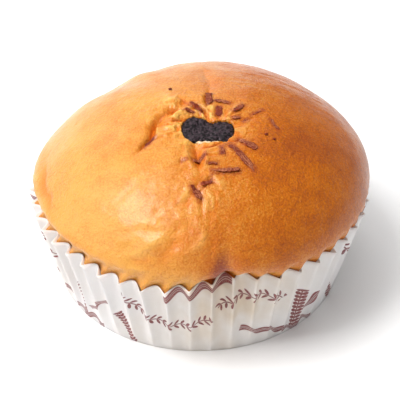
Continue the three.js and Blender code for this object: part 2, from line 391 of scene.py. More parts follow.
@dataclass(frozen=True)
class BakedCrust:
    """Egg-washed crust of enriched dough, baked.

    The egg glaze dries to a thin, uneven gloss over a matte crumb skin. It gives soft highlights with a fine
    leathery wrinkle, and a colour from golden where the oven was cooler to orange-brown where it was hotter.
    """

    golden: str = "#DF9C42"
    brown: str = "#C46806"
    deep: str = "#A04C14"
    # fold: a darker, saturated orange painted into the valleys, dips and front seam as shade.
    fold: str = "#DA7008"
    # dough: the pale colour of stretched dough, which also paints a highlight on the ridges.
    dough: str = "#F2BB62"
    # stain: chocolate fat stain under the strips, also painting shade into crease cores and the front seam.
    stain_and_shade: str = "#9C4418"
    brown_at: float = 0.62
    mottle_mm: float = 5.0
    grain_mm: float = 0.55
    grain_depth: float = 0.34
    wrinkle_mm: float = 1.6
    wrinkle_depth: float = 0.75
    pore_mm: float = 2.4
    pore_depth: float = 0.12
    roughness: float = 0.34

    def material(self) -> bpy.types.Material:
        """Return the crust's material, which reads the bake, fold, pale and stain attributes."""
        material = new_material("egg_washed_crust")
        tree = material.node_tree
        place = add(tree, Kind.COORDINATES).outputs["Object"]
        mottle = add(tree, Kind.NOISE, {"Vector": place, "Scale": per_metre(self.mottle_mm), "Detail": 3.0})
        grain = add(tree, Kind.NOISE, {"Vector": place, "Scale": per_metre(self.grain_mm), "Detail": 2.0})
        bake = add(tree, Kind.ATTRIBUTE, attribute_name="bake").outputs["Fac"]
        drift = add(tree, Kind.RANGE, {"Value": mottle.outputs["Fac"], 1: 0.3, 2: 0.7, 3: -0.12, 4: 0.12})
        speck = add(tree, Kind.RANGE, {"Value": grain.outputs["Fac"], 1: 0.3, 2: 0.7, 3: -0.2, 4: 0.2})
        uneven = add(tree, Kind.MATH, {0: bake, 1: drift.outputs[0]}, operation="ADD")
        uneven = add(tree, Kind.MATH, {0: uneven, 1: speck.outputs[0]}, operation="ADD")
        colour = add(tree, Kind.RAMP, {"Fac": uneven}).outputs["Color"]
        set_stops(colour.node, ((0.0, self.golden), (self.brown_at, self.brown), (1.0, self.deep)))
        stain_and_shade = add(tree, Kind.ATTRIBUTE, attribute_name="stain_and_shade").outputs["Fac"]
        spread = add(tree, Kind.RANGE, {"Value": grain.outputs["Fac"], 1: 0.3, 2: 0.6, 3: 0.45, 4: 0.95})
        # Folds take painted shade; ridges take pale dough with a painted highlight.
        layers = (
            (add(tree, Kind.ATTRIBUTE, attribute_name="fold").outputs["Fac"], self.fold),
            (add(tree, Kind.ATTRIBUTE, attribute_name="pale").outputs["Fac"], self.dough),
            # This layer is the chocolate stain, and painted shade in crease cores and the front seam.
            (add(tree, Kind.MATH, {0: stain_and_shade, 1: spread}, operation="MULTIPLY").outputs[0], self.stain_and_shade),
        )
        for share, code in layers:
            mixed = {"Factor": share, 6: colour, 7: linear(code)}
            colour = add(tree, Kind.MIX, mixed, data_type="RGBA").outputs[2]

        leather = {"Detail": 4.0, "Roughness": 0.62, "Distortion": 0.6}
        wrinkle = add(tree, Kind.NOISE, {"Vector": place, "Scale": per_metre(self.wrinkle_mm)} | leather)
        pores = add(tree, Kind.CELLS, {"Vector": place, "Scale": per_metre(self.pore_mm)}, feature="F1")
        pits = add(tree, Kind.RANGE, {"Value": pores.outputs["Distance"], 1: 0.0, 2: 0.16, 3: 0.0, 4: 1.0})
        bumps = (
            (wrinkle.outputs["Fac"], 0.7, self.wrinkle_depth),
            (grain.outputs["Fac"], 0.6, self.grain_depth),
            (pits.outputs[0], 0.25, self.pore_depth),
        )
        relief = None
        for height, strength, depth in bumps:
            below = {"Normal": relief} if relief else {}
            relief = add(
                tree, Kind.BUMP, {"Height": height, "Strength": strength, "Distance": depth * MM} | below
            )
        dulling = {1: 0.3, 2: 0.7, 3: self.roughness - 0.06, 4: self.roughness + 0.08}
        gloss = add(tree, Kind.RANGE, {"Value": mottle.outputs["Fac"]} | dulling)
        finish_shader(
            tree,
            {
                "Base Color": colour,
                "Roughness": gloss.outputs[0],
                "Normal": relief,
                "IOR": 1.45,
                "Specular IOR Level": 0.32,
                "Subsurface Weight": 0.14,
                "Subsurface Radius": (1.0, 0.4, 0.12),
                "Subsurface Scale": 1.6 * MM,
                "Coat Weight": 0.4,
                "Coat Roughness": 0.2,
            },
        )
        return material


@dataclass(frozen=True)
class DarkGanache:
    """Cooked chocolate filling with fine cocoa grit.

    It dries in the oven to a dull, blue-black crumb, lighter on the tops of the grains.
    """

    dark: str = "#0B0809"
    light: str = "#42333A"
    grit_mm: float = 0.7
    roughness: float = 0.5

    def material(self) -> bpy.types.Material:
        """Return the filling's material."""
        material = new_material("cooked_chocolate_filling")
        tree = material.node_tree
        place = add(tree, Kind.COORDINATES).outputs["Object"]
        grit = add(tree, Kind.NOISE, {"Vector": place, "Scale": per_metre(self.grit_mm), "Detail": 3.0})
        shade = add(tree, Kind.RANGE, {"Value": grit.outputs["Fac"], 1: 0.4, 2: 0.64})
        grains = {"Factor": shade, 6: linear(self.dark), 7: linear(self.light)}
        colour = add(tree, Kind.MIX, grains, data_type="RGBA")
        relief = add(tree, Kind.BUMP, {"Height": grit.outputs["Fac"], "Strength": 0.6, "Distance": 0.15 * MM})
        inputs = {"Base Color": colour.outputs[2], "Roughness": self.roughness, "Normal": relief, "IOR": 1.46}
        finish_shader(tree, inputs | {"Specular IOR Level": 0.35})
        return material


@dataclass(frozen=True)
class BakedCreamCheese:
    """Cream cheese warmed in the oven: off-white, slightly translucent, with a moist sheen."""

    cream: str = "#EEDCBC"
    browned: str = "#D89A50"
    blotch_mm: float = 1.0
    roughness: float = 0.38

    def material(self) -> bpy.types.Material:
        """Return the cream cheese's material."""
        material = new_material("baked_cream_cheese")
        tree = material.node_tree
        place = add(tree, Kind.COORDINATES).outputs["Object"]
        blotch = add(tree, Kind.NOISE, {"Vector": place, "Scale": per_metre(self.blotch_mm), "Detail": 3.0})
        share = add(tree, Kind.RANGE, {"Value": blotch.outputs["Fac"], 1: 0.4, 2: 0.75})
        blotches = {"Factor": share, 6: linear(self.cream), 7: linear(self.browned)}
        colour = add(tree, Kind.MIX, blotches, data_type="RGBA")
        lumps = {"Height": blotch.outputs["Fac"], "Strength": 0.4, "Distance": 0.1 * MM}
        relief = add(tree, Kind.BUMP, lumps)
        finish_shader(
            tree,
            {
                "Base Color": colour.outputs[2],
                "Roughness": self.roughness,
                "Normal": relief,
                "IOR": 1.45,
                "Subsurface Weight": 0.25,
                "Subsurface Radius": (1.0, 0.8, 0.6),
                "Subsurface Scale": 0.6 * MM,
            },
        )
        return material


@dataclass(frozen=True)
class ShreddedChocolate:
    """Compound chocolate shaved into strips and baked on the crust.

    The heat melts its thin edges to a warm red-brown. Its body stays dark, with a dusty orange-brown bloom
    on the ridges that the shaving blade left, lightest on their tops, which is partly a painted highlight.
    """

    melted: str = "#A8481A"
    body: str = "#681E10"
    # bloom: dusty bloom, which also paints a highlight on the tops of the ridges.
    bloom: str = "#D2865A"
    streak_mm: float = 0.45
    roughness: float = 0.55

    def material(self) -> bpy.types.Material:
        """Return the chocolate's material, which reads the ridge attribute: bloom with a painted highlight.
        """
        material = new_material("shredded_chocolate")
        tree = material.node_tree
        place = add(tree, Kind.COORDINATES).outputs["Object"]
        streak = add(tree, Kind.NOISE, {"Vector": place, "Scale": per_metre(self.streak_mm), "Detail": 3.0})
        ridge = add(tree, Kind.ATTRIBUTE, attribute_name="ridge").outputs["Fac"]
        worn = add(tree, Kind.RANGE, {"Value": streak.outputs["Fac"], 1: 0.35, 2: 0.65, 3: 0.45, 4: 1.1})
        bloom = add(tree, Kind.MATH, {0: ridge, 1: worn.outputs[0]}, operation="MULTIPLY")
        colour = add(tree, Kind.RAMP, {"Fac": bloom}).outputs["Color"]
        set_stops(colour.node, ((0.06, self.melted), (0.24, self.body), (1.0, self.bloom)))
        scratches = {"Height": streak.outputs["Fac"], "Strength": 0.4, "Distance": 0.1 * MM}
        relief = add(tree, Kind.BUMP, scratches)
        inputs = {"Base Color": colour, "Roughness": self.roughness, "Normal": relief, "IOR": 1.46}
        finish_shader(tree, inputs | {"Specular IOR Level": 0.3})
        return material


@dataclass(frozen=True)
class PrintedGreaseproof:
    """Bleached greaseproof paper, printed in one brown ink and then crimped.

    It is off-white and matte with a faint fibre cloud, and it turns beige where the bun's butter has seeped
    in; the same beige tint also paints the warm light that the bun bounces through the paper. The print is a
    plain bakery pattern of wheat ears, sprigs and ribbons. It was printed on the flat sheet, so the folds
    break it up. Places on the sheet are polar: degrees round it and millimetres up from the base's edge.
    """

    base_radius: float
    sheet_unit: float
    sheet: str = "#F7F2F0"
    # Beige of butter in the paper, also painting warm light that the bun bounces through it.
    soaked_and_bounce: str = "#DECAB4"
    ink: str = "#803A3A"
    fibre_mm: float = 0.35
    cloud_mm: float = 9.0
    repeat_deg: float = 90.0
    first_deg: float = -125.0
    grain_lean: float = 38.0
    leaf_pitch: float = 2.2
    leaf_lean: float = 48.0
    leaf_half: tuple[float, float] = (1.15, 0.42)
    leaf_off: float = 1.05
    stem_half: float = 0.2
    wave_length: float = 9.0
    wave_height: float = 0.9
    bare_line_half: float = 0.06
    roughness: float = 0.72

    def material(self) -> bpy.types.Material:
        """Return the paper's material, which reads the FlatSheet map and the outside and soak attributes."""
        material = new_material("printed_greaseproof_paper")
        tree = material.node_tree
        place = add(tree, Kind.COORDINATES).outputs["Object"]
        fibre = add(tree, Kind.NOISE, {"Vector": place, "Scale": per_metre(self.fibre_mm), "Detail": 3.0})
        cloud = add(tree, Kind.NOISE, {"Vector": place, "Scale": per_metre(self.cloud_mm), "Detail": 4.0})
        # The beige tint is butter in the paper plus painted warm light bounced from the bun.
        soak_and_bounce = add(tree, Kind.ATTRIBUTE, attribute_name="soak_and_bounce").outputs["Fac"]
        patch = add(tree, Kind.RANGE, {"Value": cloud.outputs["Fac"], 1: 0.3, 2: 0.6, 3: 0.45, 4: 1.0})
        wet_and_bounce = add(tree, Kind.MATH, {0: soak_and_bounce, 1: patch.outputs[0]}, operation="MULTIPLY")
        buttered_and_bounce = {"Factor": wet_and_bounce, 6: linear(self.sheet), 7: linear(self.soaked_and_bounce)}
        paper = add(tree, Kind.MIX, buttered_and_bounce, data_type="RGBA")
        outside = add(tree, Kind.ATTRIBUTE, attribute_name="outside").outputs["Fac"]
        patchy = add(tree, Kind.RANGE, {"Value": fibre.outputs["Fac"], 1: 0.25, 2: 0.6, 3: 0.78, 4: 1.0})
        inked = add(tree, Kind.MATH, {0: self.pattern(tree), 1: patchy.outputs[0]}, operation="MULTIPLY")
        inked = add(tree, Kind.MATH, {0: inked, 1: outside}, operation="MULTIPLY")
        printed = {"Factor": inked, 6: paper.outputs[2], 7: linear(self.ink)}
        colour = add(tree, Kind.MIX, printed, data_type="RGBA")
        fibres = {"Height": fibre.outputs["Fac"], "Strength": 0.12, "Distance": 0.05 * MM}
        relief = add(tree, Kind.BUMP, fibres)
        finish_shader(
            tree,
            {
                "Base Color": colour.outputs[2],
                "Roughness": self.roughness,
                "Normal": relief,
                "IOR": 1.47,
                "Specular IOR Level": 0.35,
                "Subsurface Weight": 0.6,
                "Subsurface Radius": (1.0, 0.95, 0.9),
                "Subsurface Scale": 1.0 * MM,
            },
        )
        return material

    def cell(self, tree: bpy.types.NodeTree) -> bpy.types.Node:
        """Add the nodes for a place within one repeat of the print.

        Args:
            tree: The material's node tree.

        Returns:
            Node whose vector is degrees from the repeat's start, millimetres up from the base's edge, and 0.
            At the middle of the wall one degree is close to one millimetre.
        """
        flat = add(tree, Kind.UV, uv_map="FlatSheet").outputs["UV"]
        sheet = add(tree, Kind.VECTOR, {0: flat, "Scale": self.sheet_unit}, operation="SCALE").outputs[0]
        parts = add(tree, Kind.SPLIT, {0: sheet})
        angle = add(tree, Kind.MATH, {0: parts.outputs[1], 1: parts.outputs[0]}, operation="ARCTAN2")
        degrees = add(tree, Kind.MATH, {0: angle}, operation="DEGREES")
        turned = add(tree, Kind.MATH, {0: degrees, 1: self.first_deg}, operation="SUBTRACT")
        wrapped = add(tree, Kind.MATH, {0: turned, 1: self.repeat_deg, 2: 0.0}, operation="WRAP")
        radius = add(tree, Kind.VECTOR, {0: sheet}, operation="LENGTH").outputs["Value"]
        height = add(tree, Kind.MATH, {0: radius, 1: self.base_radius}, operation="SUBTRACT")
        return add(tree, Kind.JOIN, {0: wrapped, 1: height})

    def pattern(self, tree: bpy.types.NodeTree) -> bpy.types.NodeSocket:
        """Add the nodes of the whole print.

        Args:
            tree: The material's node tree.

        Returns:
            Socket that is 1 on ink and 0 on bare paper.
        """
        cell = self.cell(tree)
        marks = [
            self.ear(tree, cell, (6.6, 5.4), 26.0, (1.4, 6.4)),
            self.ear(tree, cell, (75.2, 9.2), -2.0, (1.8, 7.8)),
            self.sprig(tree, cell, (28.0, 36.0), 24.5, (-146.0, -62.0)),
            self.sprig(tree, cell, (54.5, 3.0), 18.5, (48.0, 132.0)),
            self.ribbon(tree, cell, (60.0, 5.2), -16.0, 9.5, 0.95),
            self.ribbon(tree, cell, (35.0, 26.8), 2.0, 11.5, 1.45),
            self.ribbon(tree, cell, (77.0, 1.4), 0.0, 8.0, 0.9),
            self.ribbon(tree, cell, (83.5, 9.0), 42.0, 6.0, 1.0),
        ]
        whole = marks[0]
        for mark in marks[1:]:
            whole = add(tree, Kind.MATH, {0: whole, 1: mark}, operation="MAXIMUM").outputs[0]
        return whole

    def inside(self, tree: bpy.types.NodeTree, distance: object, edge: float = 0.12) -> bpy.types.NodeSocket:
        """Return a socket that is 1 where distance is below 0 and 0 where it is above, with a soft edge."""
        fade = {"Value": distance, 1: edge, 2: -edge, 3: 0.0, 4: 1.0}
        return add(tree, Kind.RANGE, fade).outputs[0]

    def within(self, tree: bpy.types.NodeTree, coordinate: object, half: object) -> bpy.types.Node:
        """Return a node that is below 0 where the coordinate is less than half away from 0."""
        size = add(tree, Kind.MATH, {0: coordinate}, operation="ABSOLUTE")
        return add(tree, Kind.MATH, {0: size, 1: half}, operation="SUBTRACT")

    def frame_at(
        self,
        tree: bpy.types.NodeTree,
        place: bpy.types.Node,
        centre: tuple[float, float],
        lean_deg: float,
        half: tuple[float, float] = (1.0, 1.0),
    ) -> bpy.types.Node:
        """Add a leaning frame of its own for a mark.

        Args:
            tree: The material's node tree.
            place: Node that gives the place to turn into the frame.
            centre: The frame's middle.
            lean_deg: Turn of the frame.
            half: Length of the frame's two units.

        Returns:
            Node whose vector is the place in the frame.
        """
        turn = (0.0, 0.0, math.radians(lean_deg))
        inputs = {"Vector": place, "Location": (*centre, 0.0), "Rotation": turn, "Scale": (*half, 1.0)}
        return add(tree, Kind.MAPPING, inputs, vector_type="TEXTURE")

    def disc(self, tree: bpy.types.NodeTree, frame_node: bpy.types.Node) -> bpy.types.Node:
        """Return a node that is below 0 less than one unit from a frame's middle."""
        reach = add(tree, Kind.VECTOR, {0: frame_node}, operation="LENGTH").outputs["Value"]
        return add(tree, Kind.MATH, {0: reach, 1: 1.0}, operation="SUBTRACT")

    def ear(
        self,
        tree: bpy.types.NodeTree,
        cell: bpy.types.Node,
        centre: tuple[float, float],
        lean_deg: float,
        half: tuple[float, float],
    ) -> bpy.types.NodeSocket:
        """Add an ear of wheat: slanting grains in two rows beside a stalk.

        Args:
            tree: The material's node tree.
            cell: Node that gives the place in the repeat.
            centre: Middle of the ear, degrees and millimetres.
            lean_deg: Turn of the ear from upright.
            half: Half its width and half its length in millimetres.

        Returns:
            Socket that is 1 on the ear. A grain is an ellipse, repeated along the ear and mirrored across it.
        """
        width, length = half
        pitch = 0.85 * width
        grain_centre, grain_half = (0.55 * width, 0.0), (0.7 * width, 0.34 * width)
        parts = add(tree, Kind.SPLIT, {0: self.frame_at(tree, cell, centre, lean_deg)})
        across = add(tree, Kind.MATH, {0: parts.outputs[0]}, operation="ABSOLUTE")
        along = add(tree, Kind.MATH, {0: parts.outputs[1], 1: pitch / 2, 2: -pitch / 2}, operation="WRAP")
        folded = add(tree, Kind.JOIN, {0: across, 1: along})
        grain = self.disc(tree, self.frame_at(tree, folded, grain_centre, self.grain_lean, grain_half))
        stalk = self.within(tree, parts.outputs[0], 0.12 * width)
        shape = add(tree, Kind.MATH, {0: grain, 1: stalk}, operation="MINIMUM")
        end = self.within(tree, parts.outputs[1], length)
        whole = add(tree, Kind.MATH, {0: shape, 1: end}, operation="MAXIMUM")
        return self.inside(tree, whole.outputs[0])

    def sprig(
        self,
        tree: bpy.types.NodeTree,
        cell: bpy.types.Node,
        centre: tuple[float, float],
        radius: float,
        span_deg: tuple[float, float],
    ) -> bpy.types.NodeSocket:
        """Add a curved stem with a row of small leaves on either side.

        Args:
            tree: The material's node tree.
            cell: Node that gives the place in the repeat.
            centre: Centre of the row's arc, degrees and millimetres.
            radius: Radius of the arc in millimetres.
            span_deg: First and last angle of the arc.

        Returns:
            Socket that is 1 on stem and leaves. A leaf is a slanting ellipse, repeated along the arc and
            mirrored across it.
        """
        local = add(tree, Kind.VECTOR, {0: cell, 1: (*centre, 0.0)}, operation="SUBTRACT")
        parts = add(tree, Kind.SPLIT, {0: local})
        angle = add(tree, Kind.MATH, {0: parts.outputs[1], 1: parts.outputs[0]}, operation="ARCTAN2")
        reach = add(tree, Kind.VECTOR, {0: local}, operation="LENGTH").outputs["Value"]
        off = add(tree, Kind.MATH, {0: reach, 1: radius}, operation="SUBTRACT")
        away = add(tree, Kind.MATH, {0: off}, operation="ABSOLUTE")
        length = add(tree, Kind.MATH, {0: angle, 1: radius}, operation="MULTIPLY")
        spacing = {0: length, 1: self.leaf_pitch / 2, 2: -self.leaf_pitch / 2}
        along = add(tree, Kind.MATH, spacing, operation="WRAP")
        unrolled = add(tree, Kind.JOIN, {0: along, 1: away})
        leaf_frame = self.frame_at(tree, unrolled, (0.0, self.leaf_off), self.leaf_lean, self.leaf_half)
        leaf, stem = self.disc(tree, leaf_frame), self.within(tree, off, self.stem_half)
        shape = add(tree, Kind.MATH, {0: leaf, 1: stem}, operation="MINIMUM")
        middle = math.radians(sum(span_deg) / 2)
        half = math.radians((span_deg[1] - span_deg[0]) / 2)
        turned = add(tree, Kind.MATH, {0: angle, 1: middle}, operation="SUBTRACT")
        beyond = self.within(tree, turned, half)
        beyond = add(tree, Kind.MATH, {0: beyond, 1: radius}, operation="MULTIPLY")
        whole = add(tree, Kind.MATH, {0: shape, 1: beyond}, operation="MAXIMUM")
        return self.inside(tree, whole.outputs[0])

    def ribbon(
        self,
        tree: bpy.types.NodeTree,
        cell: bpy.types.Node,
        centre: tuple[float, float],
        lean_deg: float,
        half_length: float,
        half_width: float,
    ) -> bpy.types.NodeSocket:
        """Add a waving ribbon that swells and thins.

        Args:
            tree: The material's node tree.
            cell: Node that gives the place in the repeat.
            centre: Middle of the ribbon, degrees and millimetres.
            lean_deg: Turn of the ribbon from level.
            half_length: Half its length in millimetres.
            half_width: Mean of half its width in millimetres.

        Returns:
            Socket that is 1 on the ribbon, a band about a sine whose half width is itself a sine, with a bare
            line along it.
        """
        parts = add(tree, Kind.SPLIT, {0: self.frame_at(tree, cell, centre, lean_deg)})
        per_length = 2 * math.pi / self.wave_length
        phase = add(tree, Kind.MATH, {0: parts.outputs[0], 1: per_length}, operation="MULTIPLY")
        wave = add(tree, Kind.MATH, {0: phase}, operation="SINE")
        wave = add(tree, Kind.MATH, {0: wave, 1: self.wave_height}, operation="MULTIPLY")
        off = add(tree, Kind.MATH, {0: parts.outputs[1], 1: wave}, operation="SUBTRACT")
        swell = add(tree, Kind.MATH, {0: phase}, operation="COSINE")
        uneven = {0: swell, 1: 0.35 * half_width, 2: half_width}
        swell = add(tree, Kind.MATH, uneven, operation="MULTIPLY_ADD")
        band = self.within(tree, off, swell)
        away = add(tree, Kind.MATH, {0: off}, operation="ABSOLUTE")
        line = add(tree, Kind.MATH, {0: away, 1: 0.3 * half_width}, operation="SUBTRACT")
        line = add(tree, Kind.MATH, {0: line}, operation="ABSOLUTE")
        line = add(tree, Kind.MATH, {0: self.bare_line_half, 1: line}, operation="SUBTRACT")
        band = add(tree, Kind.MATH, {0: band, 1: line}, operation="MAXIMUM")
        end = self.within(tree, parts.outputs[0], half_length)
        whole = add(tree, Kind.MATH, {0: band, 1: end}, operation="MAXIMUM")
        return self.inside(tree, whole.outputs[0])


# ---- Paper cup -------------------------------------------------------------------------------


@dataclass
class PaperCup:
    """Crimped baking cup: a flat floor and a wall that was a flat disc's edge, pleated inwards.

    Angles are in degrees and lengths in millimetres. A level is 0 at the base and 1 at the rim.
    """

    base_radius: float = 42.5
    rim_radius: float = 50.0
    height: float = 28.5
    flutes: int = 48
    flute_turn: float = -3.0
    flare: float = 1.6
    flare_at: float = -110.0
    flare_width: float = 13.0
    tuck: float = 3.6
    tuck_at: float = -79.0
    tuck_width: float = 11.0
    tuck_lift: float = 1.4
    paper: float = 0.22
    wall: float = 0.286
    ring_crowding: float = 1.25
    fold_bluntness: float = 0.16
    fold_power: float = 0.86
    tip_spread: float = 0.28
    depth_spread: float = 0.07
    skew_spread: float = 0.07
    crinkle: tuple[Lumps, ...] = (Lumps(0.07, 1.6, 31), Lumps(0.10, 4.0, 32))
    rim_curl: float = 0.35
    curl_from: float = 0.93
    outer_rings: int = 27
    inner_rings: int = 17
    columns_per_flute: int = 14
    # Where the beige of butter and painted warm bounce light lies.
    soak_and_bounce_at: float = -78.0
    soak_and_bounce_width: float = 26.0
    soak_and_bounce_patches: Lumps = Lumps(1.0, 22.0, 41)
    sheet_unit: float = 100.0
    seed: int = 7

    def __post_init__(self) -> None:
        """Draw each flute's own small differences."""
        draw = np.random.default_rng(self.seed)
        self.tip_shift = draw.normal(0.0, self.tip_spread, self.flutes)
        self.depth_share = draw.normal(1.0, self.depth_spread, self.flutes)
        self.skew = draw.normal(0.0, self.skew_spread, self.flutes)

    def lean(self, azimuth: np.ndarray) -> np.ndarray:
        """Return how far the rim leans out at an azimuth: a flare, less the tuck at the bun's front seam."""
        flare = self.flare * bell(turn_between(azimuth, self.flare_at), self.flare_width)
        return flare - self.tuck * bell(turn_between(azimuth, self.tuck_at), self.tuck_width)

    def tip_radius(self, azimuth: np.ndarray, level: np.ndarray) -> np.ndarray:
        """Return the outer tips' radius: straight from base to rim, plus the lean by level squared."""
        straight = self.base_radius + (self.rim_radius - self.base_radius) * level
        return straight + self.lean(azimuth) * level**2

    def rim_height(self, azimuth: np.ndarray) -> np.ndarray:
        """Return the rim's height, which rises at the tuck."""
        return self.height + self.tuck_lift * bell(turn_between(azimuth, self.tuck_at), self.tuck_width)

    def slant(self, level: np.ndarray) -> np.ndarray:
        """Return the distance up the wall from the base's edge."""
        return level * math.hypot(self.height, self.rim_radius - self.base_radius)

    def flute_depth(self, level: np.ndarray) -> np.ndarray:
        """Return how far a flute folds in.

        Args:
            level: Level on the wall.

        Returns:
            The short side of a right triangle whose long side is half a flute's paper and whose other side is
            half the flute's pitch. The paper is the flat disc's circumference there, shared among the flutes.
        """
        fold = math.pi * (self.base_radius + self.slant(level)) / self.flutes
        pitch = math.pi * (self.base_radius + (self.rim_radius - self.base_radius) * level) / self.flutes
        return np.sqrt(np.maximum(fold**2 - pitch**2, 0.0))

    def phase(self, azimuth: np.ndarray) -> tuple[np.ndarray, np.ndarray]:
        """Return the flute's number and the place in it, from 0 at one outer tip to 1 at the next."""
        place = (np.degrees(azimuth) + 90.0 - self.flute_turn) / 360.0 * self.flutes
        number = np.floor(place + 1e-9)
        return number.astype(int) % self.flutes, place - number

    def fold_wave(self, azimuth: np.ndarray) -> np.ndarray:
        """Return how far in the paper is: 0 at the sharp outer tips, 1 at the blunt inner folds."""
        number, place = self.phase(azimuth)
        place = place + self.skew[number] * np.sin(2 * math.pi * place) / (2 * math.pi)
        blunt = self.fold_bluntness
        wave = np.sqrt(np.sin(math.pi * place) ** 2 + blunt**2) - blunt
        return (wave / (math.hypot(1.0, blunt) - blunt)) ** self.fold_power * self.depth_share[number]

    def tip_variation(self, azimuth: np.ndarray) -> np.ndarray:
        """Return the outer tips' own small shifts, eased from one tip to the next."""
        number, place = self.phase(azimuth)
        ease = smoothstep(0.0, 1.0, place)
        return self.tip_shift[number] * (1 - ease) + self.tip_shift[(number + 1) % self.flutes] * ease

    def radius(self, azimuth: np.ndarray, level: np.ndarray) -> np.ndarray:
        """Return the outer face's radius: tips, their shifts by level, and the fold inwards."""
        tips = self.tip_radius(azimuth, level) + self.tip_variation(azimuth) * level
        return tips - self.flute_depth(level) * self.fold_wave(azimuth)

    def inner_fold_radius(self, azimuth: np.ndarray, level: np.ndarray) -> np.ndarray:
        """Return the radius that the inner folds reach in to, without the flutes' own differences."""
        return self.tip_radius(azimuth, level) - self.flute_depth(level)

    def azimuths(self) -> np.ndarray:
        """Return the columns' azimuths, with a column on each tip."""
        columns = self.flutes * self.columns_per_flute
        return np.radians(np.arange(columns) / columns * 360.0 - 90.0 + self.flute_turn)

    def wall_ring(self, azimuth: np.ndarray, level: float, inside: bool) -> tuple[np.ndarray, np.ndarray]:
        """Work out one ring of the wall.

        Args:
            azimuth: The columns' azimuths.
            level: The ring's level.
            inside: True on the wall's inner face.

        Returns:
            The ring's radii and heights. The radius is radius(), plus crinkles that grow with the level and a
            curl outwards at the rim, less the wall's thickness on the inner face. The height is the level's
            share of rim_height(), and no lower than the floor's paper on the inner face.
        """
        height = level * self.rim_height(azimuth)
        if inside:
            height = np.maximum(height, self.paper)
        around = (self.rim_radius * np.cos(azimuth), self.rim_radius * np.sin(azimuth), height)
        crinkle = level * pile(self.crinkle, np.stack(around, -1))
        curl = self.rim_curl * smoothstep(self.curl_from, 1.0, level)
        return self.radius(azimuth, level) + crinkle + curl - self.wall * inside, height

    def surface(self) -> RingSurface:
        """Work out the whole cup.

        Returns:
            Rings from the underside's middle out to the base's edge, up the outer face to the rim, down the
            inner face and in over the floor. The flat coordinates are where the point was on the flat sheet.
        """
        azimuth = self.azimuths()
        closed = np.append(azimuth, azimuth[0] + 2 * math.pi)
        floor = (0.97, 0.6, 0.25)
        outer = np.linspace(0.0, 1.0, self.outer_rings) ** self.ring_crowding
        inner = np.linspace(1.0, 0.0, self.inner_rings) ** self.ring_crowding
        rings, flats, outside = [], [], []

        def add_ring(radius: np.ndarray, height: np.ndarray, sheet_radius: float, face: float) -> None:
            """Keep one ring of points with its radius on the flat sheet and its face."""
            radius, height = np.broadcast_arrays(radius, height, azimuth)[:2]
            rings.append(np.stack([radius * np.cos(azimuth), radius * np.sin(azimuth), height], -1))
            flats.append(sheet_radius * np.stack([np.cos(closed), np.sin(closed)], -1) / self.sheet_unit)
            outside.append(np.full(azimuth.shape, face))

        for share in reversed(floor):
            add_ring(share * self.base_radius, 0.0, share * self.base_radius, 1.0)
        for level in outer:
            add_ring(*self.wall_ring(azimuth, level, False), self.base_radius + self.slant(level), 1.0)
        for level in inner:
            add_ring(*self.wall_ring(azimuth, level, True), self.base_radius + self.slant(level), 0.0)
        for share in floor:
            add_ring(share * self.base_radius, self.paper, share * self.base_radius, 0.0)
        rings = np.array(rings)
        values = {"outside": np.array(outside), "soak_and_bounce": self.soak_and_bounce_share(rings)}
        middle = np.zeros(3)
        return RingSurface(rings, middle, middle + (0.0, 0.0, self.paper), values, np.array(flats))

    def soak_and_bounce_share(self, rings: np.ndarray) -> np.ndarray:
        """Return butter plus painted warm bounce light: most at the front, little elsewhere, less near the
        base.
        """
        azimuth = np.arctan2(rings[..., 1], rings[..., 0])
        front = bell(turn_between(azimuth, self.soak_and_bounce_at), self.soak_and_bounce_width)
        front = front * (0.35 + 0.65 * smoothstep(2.0, 16.0, rings[..., 2]))
        patches = 0.3 * smoothstep(-0.2, 0.7, self.soak_and_bounce_patches.at(rings))
        return np.clip(front + patches, 0.0, 1.0)

    def build(self) -> bpy.types.Object:
        """Make the cup and put it in the scene."""
        finish = PrintedGreaseproof(base_radius=self.base_radius, sheet_unit=self.sheet_unit)
        mesh = self.surface().mesh("paper_cup_printed")
        return place_piece(mesh, finish.material(), ["paper_cup"])


# ---- Bun -------------------------------------------------------------------------------------


@dataclass(frozen=True)
class Crease:
    """A line in the crust, in plan: a valley if depth is above 0 and a ridge if it is below.

    Attributes:
        path: Plan points in millimetres.
        depth: Depth of the valley, in millimetres.
        width: Half width of the valley, in millimetres.
        tone: How strongly a valley takes painted shade, or a ridge pale dough and painted highlight, from 0
            to 1.
        ends: Share of the depth left at the first and last point.
    """

    path: tuple[tuple[float, float], ...]
    depth: float
    width: float
    tone: float = 0.0
    ends: tuple[float, float] = (0.0, 0.0)

    def strength(self, x: np.ndarray, y: np.ndarray) -> np.ndarray:
        """Measure how near plan points are to the line.

        Args:
            x: X of the points in millimetres.
            y: Y of the points in millimetres.

        Returns:
            exp(-(d / width)^1.5) times a taper, where d is the distance to the nearest point of the line, and
            the taper rises from the first end's share to 1 in the middle and falls to the last end's share.
        """
        line = smooth_path(self.path, 8 * len(self.path))
        nearest = np.full(x.shape, np.inf)
        along = np.zeros(x.shape)
        for number, (a, b) in enumerate(zip(line[:-1], line[1:])):
            side = b - a
            share = np.clip(((x - a[0]) * side[0] + (y - a[1]) * side[1]) / (side @ side), 0.0, 1.0)
            distance = np.hypot(x - a[0] - share * side[0], y - a[1] - share * side[1])
            closer = distance < nearest
            nearest = np.where(closer, distance, nearest)
            along = np.where(closer, (number + share) / (len(line) - 1), along)
        first, last = self.ends
        rise = first + (1 - first) * smoothstep(0.0, 0.35, along)
        fall = last + (1 - last) * smoothstep(0.0, 0.35, 1.0 - along)
        return np.exp(-((nearest / self.width) ** 1.5)) * rise * fall


